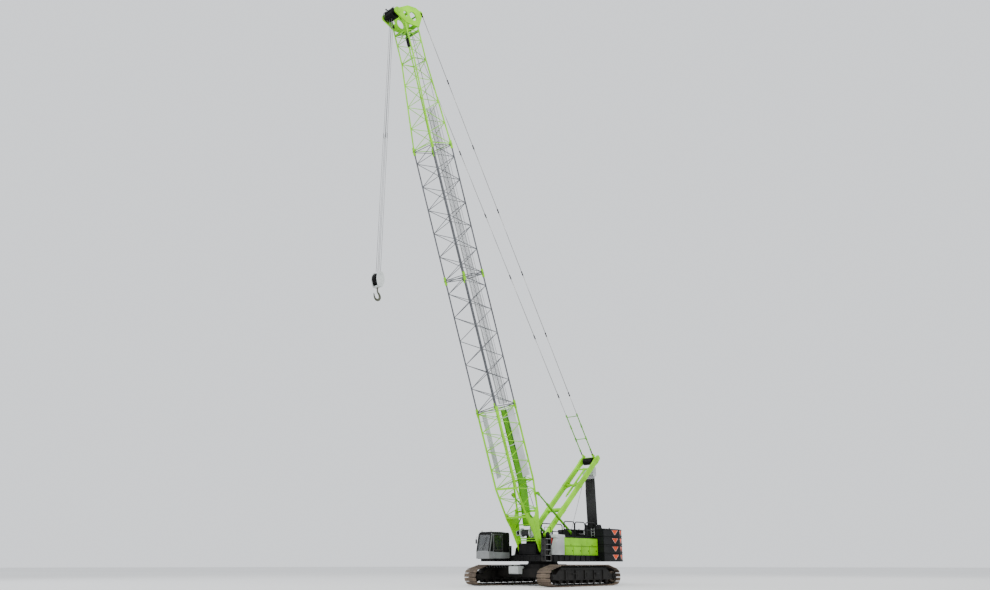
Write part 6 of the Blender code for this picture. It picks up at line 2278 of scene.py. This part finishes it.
# ---------------------------------------------------------------- surroundings
@dataclass
class Studio:
    """A pale floor, soft lights and the camera."""

    eye: tuple[float, float, float] = (33.91, -43.21, 1.29)
    heading: tuple[float, float, float] = (-0.62559, 0.70832, 0.32698)
    lens: float = 28.35

    def build(self) -> None:
        """Build all of it."""
        self._floor()
        self._sky()
        self._lamp("key", (28, -34, 46), 26.0, 16000, (1.0, 0.98, 0.94))
        self._lamp("fill", (-40, -26, 30), 30.0, 6500, (0.93, 0.96, 1.0))
        self._lamp("rim", (10, 44, 40), 26.0, 6500, (1.0, 0.99, 0.97))
        self._camera()

    def _floor(self) -> None:
        """A wide pale floor under the tracks."""
        mesh = bpy.data.meshes.new("floor")
        reach = 400
        mesh.from_pydata([(-reach, -reach, -0.002), (reach, -reach, -0.002), (reach, reach, -0.002),
                          (-reach, reach, -0.002)],
                         [], [(0, 1, 2, 3)])
        floor = bpy.data.objects.new("floor", mesh)
        bpy.context.scene.collection.objects.link(floor)
        mesh.materials.append(self._screed())

    def _screed(self) -> bpy.types.Material:
        """A plain pale matt floor with a fine grain.

        Returns:
            The material.
        """
        made = bpy.data.materials.new("look_pale_floor")
        made.use_nodes = True
        weave = Weave(made.node_tree)
        weave.shader.inputs["Specular IOR Level"].default_value = 0.2
        weave.shader.inputs["Roughness"].default_value = 0.9
        grain = weave.span(weave.noise(0.02, 2), 0.3, 0.7, 0, 1)
        weave.join(weave.blend(grain, (0.76, 0.76, 0.755, 1), (0.8, 0.8, 0.795, 1)), "Base Color")
        return made

    def _sky(self) -> None:
        """Even pale light from all round."""
        world = bpy.data.worlds.new("studio")
        world.use_nodes = True
        world.node_tree.nodes["Background"].inputs["Color"].default_value = (0.93, 0.96, 1.0, 1)
        world.node_tree.nodes["Background"].inputs["Strength"].default_value = 1.25
        bpy.context.scene.world = world

    def _lamp(self, name: str, spot: Point, size: float, power: float, colour: Point) -> None:
        """One soft area light, aimed at the machine's middle.

        Args:
            name: its name.
            spot: where it hangs.
            size: the length of its side.
            power: its power in watts.
            colour: its colour.
        """
        light = bpy.data.lights.new(name, "AREA")
        light.size = size
        light.energy = power
        light.color = colour
        lamp = bpy.data.objects.new(name, light)
        lamp.location = spot
        lamp.rotation_euler = (Vector((0, -3, 9)) - Vector(spot)).to_track_quat("-Z", "Y").to_euler()
        bpy.context.scene.collection.objects.link(lamp)

    def _camera(self) -> None:
        """A low camera in front of the machine's left side, looking up along the boom."""
        lens = bpy.data.cameras.new("camera")
        lens.lens = self.lens
        lens.sensor_width = 36
        lens.clip_end = 1500
        camera = bpy.data.objects.new("camera", lens)
        camera.location = self.eye
        camera.rotation_euler = Vector(self.heading).to_track_quat("-Z", "Y").to_euler()
        bpy.context.scene.collection.objects.link(camera)
        bpy.context.scene.camera = camera


def main() -> None:
    """Build the crane's sub-assemblies in order, then the studio round it."""
    logging.basicConfig(level=logging.INFO, format="%(name)s: %(message)s", stream=sys.stdout)
    kit = Kit()
    for part in (Undercarriage(kit), Deck(kit), Counterweight(kit), Cab(kit), LowerBlock(kit), Boom(kit),
                 Mast(kit),
                 Stays(kit), HookGear(kit)):
        part.build()
        LOG.info("%s built", type(part).__name__)
    Studio().build()
    kit.report()


if __name__ == "__main__":
    main()
